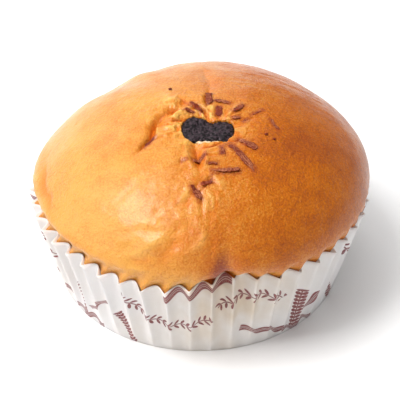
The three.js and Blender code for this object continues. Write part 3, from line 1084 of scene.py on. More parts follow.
def crease_relief(
    creases: tuple[Crease, ...], across: np.ndarray, along: np.ndarray
) -> tuple[np.ndarray, np.ndarray, np.ndarray]:
    """Add up a family of creases.

    Args:
        creases: The creases.
        across: First coordinate of the points, in the creases' own plane.
        along: Second coordinate of the points.

    Returns:
        Height to add, which is minus each crease's depth times its strength, then the painted shade in the
        valleys and the paleness of the ridges, which is pale dough with a painted highlight: the strongest
        tone of any valley, and of any ridge.
    """
    height, fold, pale = (np.zeros(across.shape) for _ in range(3))
    for crease in creases:
        strength = crease.strength(across, along)
        height = height - crease.depth * strength
        if crease.depth > 0:
            fold = np.maximum(fold, crease.tone * strength)
        else:
            pale = np.maximum(pale, crease.tone * strength)
    return height, fold, pale


CREASES = (
    # the long valley at the left of the opening
    Crease(((-4.0, -3.4), (-7.6, -5.0), (-10.2, -6.6), (-11.7, -9.4)), 0.9, 1.2, 0.7, (0.2, 0.8)),
    Crease(
        ((-11.2, -8.2), (-12.2, -11.0), (-12.6, -13.8), (-14.9, -17.0), (-18.0, -20.6)),
        2.0, 0.8, 1.0, (0.6, 0.1),
    ),
    Crease(((-11.0, -7.6), (-12.2, -11.0), (-12.8, -13.8), (-15.2, -17.4)), 0.6, 2.2, 0.6, (0.5, 0.0)),
    Crease(((-12.9, -15.4), (-9.0, -15.7), (-5.6, -16.2)), 0.3, 0.4, 0.45, (0.8, 0.2)),
    # stretched dough between the valley and the opening
    Crease(((-9.4, 1.0), (-7.8, -1.0), (-6.6, -2.6)), -0.7, 1.7, 0.95, (0.5, 0.5)),
    Crease(((-5.4, -0.1), (-3.9, -1.6), (-2.4, -2.6)), 0.5, 1.0, 0.85, (0.5, 0.5)),
    Crease(((-7.9, -8.8), (-5.2, -6.4), (-2.8, -4.4)), -0.8, 1.0, 1.0, (0.6, 0.4)),
    Crease(((-8.8, -7.4), (-6.4, -5.2), (-4.2, -3.8)), 0.7, 0.7, 0.95, (0.4, 0.4)),
    Crease(((-11.0, -12.4), (-9.2, -11.6), (-7.2, -12.8)), -0.7, 1.5, 0.8, (0.6, 0.6)),
    Crease(((-12.7, -15.0), (-11.2, -14.5), (-8.6, -14.9)), -0.4, 0.55, 1.0, (0.7, 0.2)),
    Crease(((-7.6, -9.4), (-5.6, -11.4), (-5.0, -14.6)), -0.5, 0.75, 1.0, (0.5, 0.7)),
    Crease(((-8.4, -10.0), (-6.3, -9.2), (-3.6, -8.6)), 0.7, 0.6, 1.0, (0.2, 1.0)),
    # above the opening: a soft groove, then strands that cross to the notch
    Crease(((0.9, 24.0), (1.8, 15.0), (3.8, 7.9), (2.9, 4.6)), 0.75, 2.4, 0.3, (0.0, 0.5)),
    Crease(((3.2, 5.6), (2.2, 2.2), (1.8, -1.6), (2.2, -4.0)), 0.8, 0.6, 0.8, (0.3, 0.3)),
    Crease(((-1.9, -1.8), (1.0, -4.2), (3.2, -6.6), (5.0, -9.2)), -0.55, 0.5, 0.75, (0.3, 1.0)),
    Crease(((-2.4, -2.9), (0.2, -4.9), (2.0, -6.8), (3.2, -8.6)), 0.5, 0.42, 1.0, (0.4, 0.9)),
    Crease(((-2.4, -4.6), (-0.4, -6.0), (1.2, -7.6)), -0.4, 0.5, 0.9, (0.4, 0.7)),
    Crease(((1.6, -3.8), (3.6, -4.6), (4.6, -6.6)), -0.45, 0.7, 0.95, (0.4, 0.7)),
    Crease(((5.0, -4.4), (5.4, -6.4), (5.4, -8.4)), 0.35, 0.6, 0.9, (0.3, 0.9)),
    Crease(((11.2, -3.4), (9.2, -5.6), (7.4, -8.0)), -0.45, 0.65, 0.95, (0.2, 0.9)),
    Crease(((10.8, -6.6), (9.4, -7.6), (8.2, -8.2)), -0.3, 0.7, 0.6, (0.4, 0.9)),
    # right of the opening
    Crease(((10.4, -12.4), (12.2, -12.0), (13.4, -11.4)), -0.15, 0.8, 0.3, (1.0, 0.0)),
    Crease(((10.0, -10.2), (13.4, -8.8), (17.0, -6.9)), 0.3, 0.8, 0.3, (0.8, 0.0)),
    # below the opening
    Crease(
        ((-0.4, -18.9), (1.6, -19.0), (3.6, -18.8), (5.3, -17.8), (7.0, -16.6)),
        0.7, 0.38, 1.0, (0.7, 0.4),
    ),
    Crease(((7.0, -16.5), (9.0, -16.9), (11.0, -16.2), (12.6, -14.8)), 0.6, 0.4, 1.0, (0.9, 0.1)),
    Crease(((-1.2, -18.4), (-0.8, -20.8), (-0.3, -24.0), (0.4, -28.2)), 1.9, 1.25, 0.95, (0.8, 0.1)),
    Crease(((-3.0, -20.0), (-2.5, -24.0), (-1.7, -28.0)), -0.4, 0.9, 0.55, (0.2, 0.4)),
    Crease(((1.9, -20.6), (1.9, -23.8), (1.7, -27.2)), -0.5, 0.8, 0.45, (0.5, 0.2)),
    Crease(((0.2, -29.9), (2.2, -30.4), (4.2, -29.6)), 0.9, 0.8, 0.95, (0.6, 0.4)),
    Crease(((4.8, -29.4), (6.0, -30.6), (5.4, -33.2)), -0.35, 0.9, 0.6, (0.5, 0.1)),
    Crease(((-0.4, -30.6), (-1.0, -32.6), (0.6, -34.8)), 0.6, 0.6, 0.7, (0.5, 0.2)),
    Crease(((1.3, -34.6), (1.6, -36.6), (2.2, -39.4)), -0.45, 0.65, 0.6, (0.4, 0.1)),
    Crease(((0.4, -34.6), (0.7, -37.0), (1.3, -40.6)), 0.45, 0.5, 0.5, (0.5, 0.2)),
    Crease(((3.0, -33.4), (3.4, -36.0), (3.6, -38.6)), -0.3, 0.6, 0.5, (0.2, 0.1)),
    Crease(((-1.2, -32.8), (-2.6, -34.2), (-5.2, -36.8)), 0.6, 0.9, 0.6, (0.4, 0.1)),
    Crease(((-2.4, -32.2), (-3.8, -33.8), (-6.0, -36.0)), -0.3, 0.8, 0.5, (0.3, 0.1)),
    Crease(((5.6, -33.8), (4.9, -35.5), (4.0, -37.4)), -0.3, 0.7, 0.4, (0.2, 0.1)),
    Crease(((-5.0, -23.0), (-5.2, -26.6)), 0.35, 0.7, 0.4, (0.2, 0.3)),
    Crease(((-6.6, -28.8), (-3.8, -27.3), (-0.9, -26.8)), 0.3, 0.7, 0.3, (0.1, 0.5)),
    Crease(((-6.8, -30.4), (-4.6, -29.4), (-1.8, -29.2)), 0.22, 0.7, 0.2, (0.1, 0.3)),
    Crease(((-7.3, -26.1), (-4.6, -24.8), (-2.3, -24.6)), 0.22, 0.6, 0.2, (0.1, 0.4)),
)

# Folds low on the dome's side. Places are millimetres round the dome from the front seam, and height.
# Their tones paint shade into the valleys, and pale dough with a painted highlight onto the ridges.
FRONT_FOLDS = (
    Crease(((-27.2, 34.2), (-21.8, 38.0), (-17.3, 41.2), (-13.8, 43.4)), -0.42, 1.2, 0.4, (0.3, 0.3)),
    Crease(((-6.8, 47.0), (-11.0, 42.8), (-14.6, 38.0), (-17.5, 34.5)), 0.5, 2.0, 0.45, (0.3, 0.3)),
    Crease(((-3.6, 45.4), (-4.6, 42.2), (-8.2, 39.6)), -0.36, 0.9, 0.4, (0.3, 0.3)),
    Crease(((-28.0, 32.8), (-22.5, 32.6), (-18.0, 33.6)), -0.3, 0.9, 0.35, (0.3, 0.3)),
    Crease(((-25.0, 36.6), (-21.0, 35.6), (-17.5, 36.8)), 0.3, 0.9, 0.4, (0.3, 0.3)),
    Crease(((-9.5, 45.4), (-10.6, 43.6), (-12.4, 42.2)), -0.26, 0.8, 0.3, (0.3, 0.3)),
    Crease(((-0.6, 43.0), (-2.6, 39.0), (-3.4, 35.0)), 0.34, 1.3, 0.5, (0.2, 0.4)),
    Crease(((-76.0, 37.6), (-68.0, 36.9), (-60.0, 35.9), (-52.0, 34.4)), 0.7, 0.9, 0.75, (0.3, 0.2)),
)
MM_PER_DEGREE = 0.8


@dataclass(frozen=True)
class Swell:
    """A broad swelling of the crust, or a flatter place if its size is below 0.

    Attributes:
        azimuth: Where its middle is, in degrees.
        width: Half width in degrees.
        height: Height of its middle in millimetres.
        spread: Half height in millimetres.
        size: How far it stands out, in millimetres.
    """

    azimuth: float
    width: float
    height: float
    spread: float
    size: float

    def rise(self, azimuth: np.ndarray, z: np.ndarray) -> np.ndarray:
        """Return how far the crust stands out: the size times a bell round the dome and a bell up it."""
        around = bell(turn_between(azimuth, self.azimuth), self.width)
        return self.size * around * bell(z - self.height, self.spread)


SWELLS = (
    Swell(-178.0, 27.0, 32.8, 4.4, 2.7),
    Swell(-138.0, 24.0, 32.2, 4.0, 1.8),
    Swell(20.0, 24.0, 36.0, 9.0, 1.0),
    Swell(128.0, 26.0, 45.5, 6.5, -1.4),
    Swell(123.0, 7.0, 47.0, 7.0, 0.9),
    Swell(139.0, 7.0, 46.0, 7.0, -0.5),
)


@dataclass(frozen=True)
class Spot:
    """A round place on the crust, in plan: its middle and width in millimetres, and a squeeze of its Y."""

    x: float
    y: float
    width: float
    squeeze: float = 1.0

    def share(self, x: np.ndarray, y: np.ndarray) -> np.ndarray:
        """Return 1 in the middle, falling to 37% one width away. A squeeze below 1 makes it longer in Y."""
        return bell(np.hypot(x - self.x, (y - self.y) * self.squeeze), self.width)


# Places where the crust is browner, or more golden where the change is below 0, and the change of bake there.
BAKED_SPOTS = (
    (Spot(20.0, -24.0, 12.0), 0.2),
    (Spot(17.0, 10.0, 15.0), -0.15),
    (Spot(36.0, -10.0, 9.0), 0.1),
    (Spot(-22.0, -10.0, 10.0), 0.1),
)

# Radius of the opening in millimetres at azimuths in degrees, from its middle.
OPENING = (
    (-163, 7.5), (-152, 7.3), (-141, 6.9), (-119, 5.9), (-99, 5.4), (-80, 5.2), (-57, 5.7), (-36, 6.8),
    (-19, 7.3), (-6, 7.4), (8, 7.4), (18, 7.3), (29, 6.4), (43, 5.2), (53, 3.9), (62, 3.3), (75, 3.2),
    (90, 3.5), (101, 4.0), (118, 5.3), (132, 6.7), (146, 7.4), (162, 7.6), (178, 7.6),
)


@dataclass
class BunDough:
    """The baked bun: a dome with a puckered opening in its top, sitting down in the cup.

    Lengths are in millimetres and azimuths in degrees.
    """

    cup: PaperCup
    dome_radius: float = 47.8
    dome_x: float = 2.05
    dome_y: float = -1.6
    dome_base: float = 29.4
    dome_rise: float = 29.8
    dome_power: float = 1.72
    lip_height: float = 5.2
    hole_x: float = 2.65
    hole_y: float = -12.2
    hollow_depth: float = 2.4
    hollow_radius: float = 8.5
    hollow_stretch: float = 1.25
    seam_at: float = -83.0
    cup_gap: float = 0.12
    wander: tuple[Lumps, ...] = (Lumps(0.55, 3.0, 51), Lumps(0.55, 3.0, 52))
    pleats: Lumps = Lumps(1.0, 0.42, 61, 2)
    pleat_height: float = 0.2
    pleat_ring: float = 2.6
    crumples: tuple[Lumps, ...] = (Lumps(1.0, 2.6, 71), Lumps(0.5, 1.2, 72))
    crumple_height: float = 0.3
    crumpled: Spot = Spot(-7.5, -7.5, 7.0, 0.85)
    puckers: Lumps = Lumps(1.0, 1.5, 95)
    pucker_height: float = 0.12
    puckered: Spot = Spot(1.5, -33.0, 6.0, 0.7)
    lumps: Lumps = Lumps(0.22, 7.0, 81)
    front_skin: Lumps = Lumps(0.13, 1.7, 91, 3)
    streaks: Lumps = Lumps(0.1, 1.5, 93)
    ragged: Lumps = Lumps(0.12, 1.3, 101, 3)
    unevenness: tuple[Lumps, ...] = (Lumps(0.45, 19.0, 111), Lumps(0.16, 8.0, 112))
    fine_skin: Lumps = Lumps(0.045, 1.5, 113, 2)
    rippled: Swell = Swell(-114.0, 20.0, 40.5, 4.5, 0.16)
    ripples: Lumps = Lumps(1.0, 1.7, 114)
    crinkled: Swell = Swell(-101.0, 20.0, 42.0, 6.5, 0.13)
    crinkles: Lumps = Lumps(1.0, 2.3, 115, 2)
    fold_wander: Lumps = Lumps(0.7, 3.0, 116)
    bake_edge: Lumps = Lumps(5.0, 24.0, 121)
    bake_drift: Lumps = Lumps(0.12, 13.0, 122)
    # Creases whose depth times tone passes this get painted shade in their cores.
    shaded_crease_depth: float = 0.4
    columns: int = 520
    coarse_rings: int = 56
    fine_rings: int = 98
    fine_share: float = 0.43

    def dome_height(self, x: np.ndarray, y: np.ndarray) -> np.ndarray:
        """Return the smooth dome's height: base + rise * sqrt(1 - r^power), r being a share of its radius."""
        reach = np.hypot(x - self.dome_x, y - self.dome_y) / self.dome_radius
        return self.dome_base + self.dome_rise * np.sqrt(1.0 - np.minimum(reach, 1.0) ** self.dome_power)

    def from_hole(self, x: np.ndarray, y: np.ndarray) -> np.ndarray:
        """Return the distance from the opening's middle, with X shortened: the opening is long in X."""
        return np.hypot((x - self.hole_x) / self.hollow_stretch, y - self.hole_y)

    def relief(self, x: np.ndarray, y: np.ndarray) -> tuple[np.ndarray, np.ndarray, np.ndarray]:
        """Work out the creases, pleats and lumps of the crust's top.

        Args:
            x: X of plan points in millimetres.
            y: Y of plan points in millimetres.

        Returns:
            Height to add to the dome, the painted shade in its valleys and dips, and how pale it is, which is
            stretched dough with a painted highlight on the raised places, both from 0 to 1. The height is the
            creases', which wander a little, less the hollow round the opening, plus pleats that are a noise
            in the angle round the opening, plus crumples at its left, puckers where the dough was pinched
            together, and lumps and a fine skin.
        """
        away = self.from_hole(x, y)
        plan = plan_points(x, y)
        wander = np.stack([layer.at(plan) for layer in self.wander], -1)
        height, fold, pale = crease_relief(CREASES, x + wander[..., 0], y + wander[..., 1])
        height = height - self.hollow_depth * bell(away, self.hollow_radius)

        near = bell(np.maximum(away - 4.5, 0.0), 3.6)
        left = self.crumpled.share(x, y)
        tucked = 0.55 * bell(np.maximum(away - 5.0, 0.0), 5.5) + 0.6 * left + 0.7 * self.puckered.share(x, y)
        angle = np.arctan2(y - self.hole_y, x - self.hole_x)
        circle = (self.pleat_ring * np.cos(angle), self.pleat_ring * np.sin(angle), away * 0.08)
        pleats = self.pleats.at(np.stack(circle, -1))
        broad, small = self.crumples
        crumple = broad.crests(plan + wander.mean(-1, keepdims=True), 2.6) + small.crests(plan, 2.6)
        puckers = self.puckers.crests(plan_points(x + 1.1 * wander[..., 0], y + 1.1 * wander[..., 1]), 3.0)
        height = height + self.pleat_height * near * pleats + self.crumple_height * left * crumple
        height = height + self.pucker_height * tucked * puckers + self.lumps.at(plan) * bell(away, 26.0)

        front = bell(x - 1.0, 9.0) * smoothstep(-24.0, -32.0, y)
        far_right = smoothstep(-4.0, 12.0, y) * smoothstep(-4.0, 14.0, x)
        height = height + front * self.front_skin.at(plan * (1.0, 0.55, 1.0))
        height = height + far_right * self.streaks.at(plan * (0.22, 1.0, 1.0))

        # Raised pleats, crumples and puckers are painted pale, as stretched dough and highlight; their dips
        # take painted shade.
        pale = np.clip(0.68 * pale + 0.4 * near * pleats + 0.3 * left * (crumple - 0.2), 0.0, 1.0)
        pale = np.clip(pale + 0.46 * tucked * (puckers - 0.15), 0.0, 1.0)
        fold = np.maximum(fold, 0.6 * np.clip(-tucked * puckers, 0.0, 1.0))
        dips = 0.3 * left * np.maximum(-crumple, 0.0) + 0.25 * near * np.maximum(-pleats, 0.0)
        fold = np.clip(fold + dips, 0.0, 1.0)
        return height, fold, pale * (1.0 - 0.8 * fold)

    def crust_height(self, x: np.ndarray, y: np.ndarray) -> np.ndarray:
        """Return the height of dome and relief together. The relief fades out towards the dome's edge."""
        reach = np.hypot(x - self.dome_x, y - self.dome_y) / self.dome_radius
        return self.dome_height(x, y) + self.relief(x, y)[0] * smoothstep(1.0, 0.86, reach)

    def hole_radius(self, azimuth: np.ndarray) -> np.ndarray:
        """Return the opening's outline: the radii in OPENING joined by smooth eases, a little ragged."""
        degrees, radii = np.array(OPENING, float).T
        degrees = np.concatenate([degrees, [degrees[0] + 360.0]])
        radii = np.concatenate([radii, [radii[0]]])
        asked = (np.degrees(azimuth) - degrees[0]) % 360.0 + degrees[0]
        place = np.clip(np.searchsorted(degrees, asked, side="right") - 1, 0, len(radii) - 2)
        share = smoothstep(0.0, 1.0, (asked - degrees[place]) / (degrees[place + 1] - degrees[place]))
        smooth = radii[place] * (1 - share) + radii[place + 1] * share
        return smooth + self.ragged.at(plan_points(6.0 * np.cos(azimuth), 6.0 * np.sin(azimuth)))

    def dough_radius(self, azimuth: np.ndarray, level: np.ndarray) -> np.ndarray:
        """Return the dough's radius in the cup: against the inner folds, and swelling into each flute."""
        into_flute = self.cup.flute_depth(level) * (1.0 - np.clip(self.cup.fold_wave(azimuth), 0.0, 1.0))
        swell = (0.2 + 0.6 * smoothstep(0.5, 1.0, level)) * into_flute
        wanted = self.cup.inner_fold_radius(azimuth, level) - self.cup.wall - self.cup_gap + swell
        return np.minimum(wanted, self.cup.radius(azimuth, level) - self.cup.wall - 0.2)

    def dome_rings_points(self, azimuth: np.ndarray) -> np.ndarray:
        """Work out the rings from the rim up to the opening's edge.

        Args:
            azimuth: The columns' azimuths.

        Returns:
            Points shaped ring, column, XYZ. The rings shrink from the dome's widest circle to the opening's
            outline, with their centres moving in a straight line between the two. Just above the rim they
            start at the dough's radius in the cup and swell out to the dome over the lip's height.
        """
        turn = math.acos(self.fine_share ** (self.dome_power / 2.0))
        coarse = np.cos(np.linspace(0.0, turn, self.coarse_rings, endpoint=False)) ** (2.0 / self.dome_power)
        share = np.concatenate([coarse, np.linspace(self.fine_share, 0.0, self.fine_rings)])[:, None]
        radius = (1 - share) * self.hole_radius(azimuth) + share * self.dome_radius
        x = (1 - share) * self.hole_x + share * self.dome_x + radius * np.cos(azimuth)
        y = (1 - share) * self.hole_y + share * self.dome_y + radius * np.sin(azimuth)
        height = self.crust_height(x, y)
        rim = self.cup.rim_height(azimuth) - 0.1
        height = np.maximum(height, rim + 0.05 * np.arange(len(share))[:, None])
        settled = np.maximum(1.0 - (height - rim) / self.lip_height, 0.0) ** 2
        start = self.dough_radius(azimuth, 1.0)
        x = (1 - settled) * x + settled * start * np.cos(azimuth)
        y = (1 - settled) * y + settled * start * np.sin(azimuth)
        seam = self.seam(azimuth, height)
        x = x - seam * np.cos(azimuth)
        y = y - seam * np.sin(azimuth)
        return np.stack([x, y, height], -1)

    def seam(self, azimuth: np.ndarray, height: np.ndarray) -> np.ndarray:
        """Return how far the front seam draws the crust in: a groove that deepens towards the rim."""
        off = turn_between(azimuth, self.seam_at)
        low = smoothstep(47.0, 30.5, height)
        return low * (1.5 * bell(off, 3.4) + 0.6 * bell(off, 8.0))

    def surface(self) -> RingSurface:
        """Work out the whole bun.

        Returns:
            Rings from the underside's middle, up the wall in the cup, over the dome and down into the pit.
        """
        azimuth = np.arange(self.columns) / self.columns * 2 * math.pi - math.pi / 2
        direction = np.stack([np.cos(azimuth), np.sin(azimuth)], -1)
        underside = self.cup.paper + 0.1
        rings = []
        for share in (0.4, 0.8, 0.965):
            plan = direction * (self.dough_radius(azimuth, 0.0) * share)[:, None]
            rings.append(np.column_stack([plan, np.full(self.columns, underside)]))
        for level in np.linspace(0.0, 0.985, 14) ** 0.9:
            height = np.maximum(level * self.cup.rim_height(azimuth), underside + 1.2 * (level > 0.0))
            inset = 0.9 * (level == 0.0)
            plan = direction * (self.dough_radius(azimuth, level) - inset)[:, None]
            rings.append(np.column_stack([plan, height]))
        rings = np.concatenate([np.array(rings), self.dome_rings_points(azimuth), self.pit(azimuth)])
        rings = rings + self.skin(rings)
        values = self.tones(rings)
        bottom = np.array((0.0, 0.0, underside))
        return RingSurface(rings, bottom, rings[-1].mean(0) - (0.0, 0.0, 0.05), values)

    def pit(self, azimuth: np.ndarray) -> np.ndarray:
        """Return the pit's rings: the opening's outline, rounded over and narrowing to a floor."""
        upper = ((0.99, 0.25), (0.985, 0.8), (0.985, 1.6), (0.98, 2.8))
        lower = ((0.95, 4.0), (0.85, 5.0), (0.6, 5.7), (0.3, 6.0))
        rings = []
        for spread, depth in upper + lower:
            radius = spread * self.hole_radius(azimuth)
            x = self.hole_x + radius * np.cos(azimuth)
            y = self.hole_y + radius * np.sin(azimuth)
            top = self.crust_height(x, y) if (spread, depth) in upper else self.smooth_top(x, y)
            rings.append(np.stack([x, y, top - depth], -1))
        return np.array(rings)

    def smooth_top(self, x: np.ndarray, y: np.ndarray) -> np.ndarray:
        """Return the height of the dome less the hollow, without creases."""
        return self.dome_height(x, y) - self.hollow_depth * bell(self.from_hole(x, y), self.hollow_radius)

    def skin(self, rings: np.ndarray) -> np.ndarray:
        """Work out the unevenness of the dome's skin.

        Args:
            rings: The bun's points.

        Returns:
            Shifts along the direction from the bun's middle, none below the rim: broad lumps, the swells over
            the rim, a fine skin, ripples and crinkles low on the front, and the folds there.
        """
        out = rings - np.array((self.dome_x, self.dome_y, 22.0))
        out = out / np.linalg.norm(out, axis=-1, keepdims=True)
        azimuth, z = np.arctan2(rings[..., 1], rings[..., 0]), rings[..., 2]
        around = np.stack([azimuth * 9.0, z, np.zeros_like(z)], -1)
        shift = pile(self.unevenness, rings) + self.fine_skin.at(rings)
        for swell in SWELLS:
            shift = shift + swell.rise(azimuth, z)
        shift = shift + self.rippled.rise(azimuth, z) * self.ripples.at(around)
        shift = shift + self.crinkled.rise(azimuth, z) * self.crinkles.at(rings)
        shift = shift + self.front_folds(rings)[0]
        return out * (smoothstep(29.0, 33.0, z) * shift)[..., None]

    def front_folds(self, rings: np.ndarray) -> tuple[np.ndarray, np.ndarray, np.ndarray]:
        """Return crease_relief() of the folds low on the dome's side, which wander a little."""
        around = turn_between(np.arctan2(rings[..., 1], rings[..., 0]), self.seam_at) * MM_PER_DEGREE
        wander = self.fold_wander.at(rings)
        return crease_relief(FRONT_FOLDS, around + wander, rings[..., 2] + wander)

    def tones(self, rings: np.ndarray) -> dict[str, np.ndarray]:
        """Work out the numbers that the crust's finish reads.

        Args:
            rings: The bun's points.

        Returns:
            bake: 0 golden to 1 brown. It grows to the right, falls by the rim and the opening, and drifts.
            fold: painted shade in the valleys and dips, which is also high in the front seam.
            pale: how much the dough is stretched and pale, with a painted highlight on the ridges.
            stain_and_shade: chocolate fat stain under the strips, and painted shade in crease cores and the
                front seam.
        """
        x, y, z = rings[..., 0], rings[..., 1], rings[..., 2]
        _, fold, pale = self.relief(x, y)
        _, front_fold, front_pale = self.front_folds(rings)
        # The front seam's groove takes the valleys' painted shade.
        fold = np.maximum(np.maximum(fold, front_fold), 0.75 * self.seam_share(rings, 5.0, 42.0, 31.0))
        pale = np.maximum(pale, front_pale)
        sideways = smoothstep(-26.0, 30.0, x + self.bake_edge.at(rings))
        bake = 0.1 + 0.62 * sideways + self.bake_drift.at(rings)
        bake = bake - 0.3 * smoothstep(37.0, 29.5, z) - 0.25 * bell(self.from_hole(x, y), 9.0)
        for spot, change in BAKED_SPOTS:
            bake = bake + change * spot.share(x, y)
        bake, pale = np.clip(bake, 0.0, 1.0), pale * (z > 33.0)
        return {"bake": bake, "fold": fold, "pale": pale, "stain_and_shade": self.stains_and_shade(rings)}

    def seam_share(self, rings: np.ndarray, width: float, top: float, bottom: float) -> np.ndarray:
        """Return 1 along the front seam, falling off over a width in degrees and from bottom up to top."""
        azimuth = np.arctan2(rings[..., 1], rings[..., 0])
        return bell(turn_between(azimuth, self.seam_at), width) * smoothstep(top, bottom, rings[..., 2])

    def stains_and_shade(self, rings: np.ndarray) -> np.ndarray:
        """Work out the chocolate stain on the crust, and the painted shade in its creases and front seam.

        Args:
            rings: The bun's points.

        Returns:
            1 under each strip of chocolate, fading out a ragged half millimetre beyond it; painted shade up
            to 0.8 in the cores of the deep creases, and above 1 in the front seam.
        """
        x, y, z = rings[..., 0], rings[..., 1], rings[..., 2]
        stain_and_shade = np.zeros(x.shape)
        for number, strip in enumerate(STRIPS, start=1):
            middle = node_centre(f"chocolate_shred_{number:02d}")
            turn = math.radians(strip.heading)
            dx, dy = x - middle[0], y - middle[1]
            along = np.abs(dx * math.cos(turn) + dy * math.sin(turn)) - strip.length / 2
            across = np.abs(dy * math.cos(turn) - dx * math.sin(turn)) - strip.width / 3
            beyond = np.hypot(np.maximum(along, 0.0), np.maximum(across, 0.0))
            stain_and_shade = np.maximum(stain_and_shade, bell(beyond, 0.6 + 0.25 * noise(rings, 1.4, 131 + number)))
        # Painted shade in the cores of the deep creases.
        for crease in CREASES:
            if crease.depth * crease.tone > self.shaded_crease_depth:
                stain_and_shade = np.maximum(stain_and_shade, 0.8 * crease.tone * crease.strength(x, y) ** 4)
        # Painted shade along the front seam's groove.
        return np.maximum(stain_and_shade * (z > 45.0), 1.6 * self.seam_share(rings, 3.6, 42.0, 33.0))

    def build(self) -> bpy.types.Object:
        """Make the bun and put it in the scene."""
        mesh = self.surface().mesh("bun_baked")
        return place_piece(mesh, BakedCrust().material(), ["bun"])


# ---- Filling ---------------------------------------------------------------------------------


@dataclass
class Filling:
    """The plug of chocolate filling in the opening, with the line of cream cheese along its near edge."""

    bun: BunDough
    gap: float = 0.12
    recess: float = 0.1
    crown: float = 0.75
    cheese_from: float = -128.0
    cheese_to: float = -52.0
    cheese_width: float = 0.95
    cheese_half_height: float = 0.55
    cheese_depth: float = 0.75
    grit: tuple[Lumps, ...] = (Lumps(0.20, 1.4, 201), Lumps(0.13, 0.7, 202), Lumps(0.07, 0.35, 203))
    cheese_swell: Lumps = Lumps(0.28, 1.1, 211)
    cheese_skin: Lumps = Lumps(0.05, 0.5, 212)
    columns: int = 260
    cheese_stations: int = 120
    cheese_section: int = 28

    def wall(self, azimuth: np.ndarray) -> np.ndarray:
        """Return how far the filling may reach from the opening's middle: to the pit's wall, less a gap."""
        return self.bun.hole_radius(azimuth) * 0.985 - self.gap

    def place(self, azimuth: np.ndarray, radius: np.ndarray) -> tuple[np.ndarray, np.ndarray]:
        """Return the plan coordinates at an azimuth and radius from the opening's middle."""
        return self.bun.hole_x + radius * np.cos(azimuth), self.bun.hole_y + radius * np.sin(azimuth)

    def cheese_share(self, azimuth: np.ndarray) -> np.ndarray:
        """Return how far the filling gives way to the cream cheese: 1 along it, easing to 0 past its ends."""
        degrees = (np.degrees(azimuth) + 180.0) % 360.0 - 180.0
        rise = smoothstep(self.cheese_from - 12.0, self.cheese_from + 4.0, degrees)
        return rise * smoothstep(self.cheese_to + 12.0, self.cheese_to - 4.0, degrees)

    def plug(self) -> RingSurface:
        """Work out the filling.

        Returns:
            Rings from the plug's foot up to its crowned top. Each ring is the opening's outline, less a gap,
            times a share. The top is a low crown, roughened by grit 0.3 to 1.4 mm across.
        """
        azimuth = np.arange(self.columns) / self.columns * 2 * math.pi - math.pi / 2
        edge = self.wall(azimuth) - self.cheese_share(azimuth) * self.cheese_width
        under = [(0.3, 5.6), (0.6, 5.3), (0.82, 4.5), (0.92, 3.4), (0.97, 2.2), (0.995, 1.5)]
        shares = np.sin(np.linspace(math.pi / 2, 0.02, 64))
        over = [(share, self.recess + 0.35 - self.crown * (1 - share**4) ** 0.8) for share in shares]
        rings = []
        for share, depth in under + over:
            x, y = self.place(azimuth, share * edge)
            rings.append(np.stack([x, y, self.bun.smooth_top(x, y) - depth], -1))
        rings = np.array(rings)
        rings[len(under) :, :, 2] += pile(self.grit, rings)[len(under) :]
        return RingSurface(rings, rings[0].mean(0), rings[-1].mean(0))

    def cheese(self) -> RingSurface:
        """Work out the line of cream cheese.

        Returns:
            A bead swept along the opening's near edge. Its section is an ellipse that swells and thins by
            noise and comes to a point at both ends.
        """
        along = np.linspace(0.0, 1.0, self.cheese_stations)[:, None]
        azimuth = np.radians(self.cheese_from + (self.cheese_to - self.cheese_from) * along)
        around = np.arange(self.cheese_section) / self.cheese_section * 2 * math.pi
        middle = self.wall(azimuth) - self.cheese_width / 2 - 0.02
        swell = 1.0 + self.cheese_swell.at(plan_points(along * 12.0, along * 0.0))
        taper = np.sqrt(np.clip(1.0 - (2.0 * along - 1.0) ** 6, 0.0, 1.0)) + 0.02
        wide = 0.5 * (self.cheese_width - 0.08) * swell * taper
        x, y = self.place(azimuth, middle + wide * np.cos(around))
        level = self.bun.smooth_top(*self.place(azimuth, middle)) - self.cheese_depth
        rings = np.stack([x, y, level + self.cheese_half_height * swell * taper * np.sin(around)], -1)
        rings = rings + self.cheese_skin.at(rings)[..., None]
        return RingSurface(rings, rings[0].mean(0), rings[-1].mean(0))

    def build(self) -> None:
        """Make the filling and the cream cheese and put them in the scene."""
        mesh = self.plug().mesh("chocolate_filling_baked")
        place_piece(mesh, DarkGanache().material(), ["chocolate_filling"])
        mesh = self.cheese().mesh("cream_cheese_line")
        place_piece(mesh, BakedCreamCheese().material(), ["cream_cheese_edge"])


# ---- Chocolate shreds ------------------------------------------------------------------------


def node_centre(node: str) -> tuple[float, float]:
    """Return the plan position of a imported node's middle, in millimetres."""
    low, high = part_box(node)
    middle = (low + high) / 2 / MM
    return middle.x, middle.y


@dataclass(frozen=True)
class Strip:
    """One shaved strip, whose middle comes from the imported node's box.

    Attributes:
        length: Length along the strip in millimetres.
        width: Greatest width in millimetres.
        heading: Direction of its middle in degrees.
        bend: Turn from end to end in degrees.
        first: Share of the width left at its first end.
        last: Share of the width left at its last end.
        bloom: Greyish bloom from 0 to 1, at the first and last end.
        taper: Share of the length over which each end narrows.
    """

    length: float
    width: float
    heading: float
    bend: float
    first: float = 0.5
    last: float = 0.5
    bloom: tuple[float, float] = (0.4, 0.4)
    taper: float = 0.22


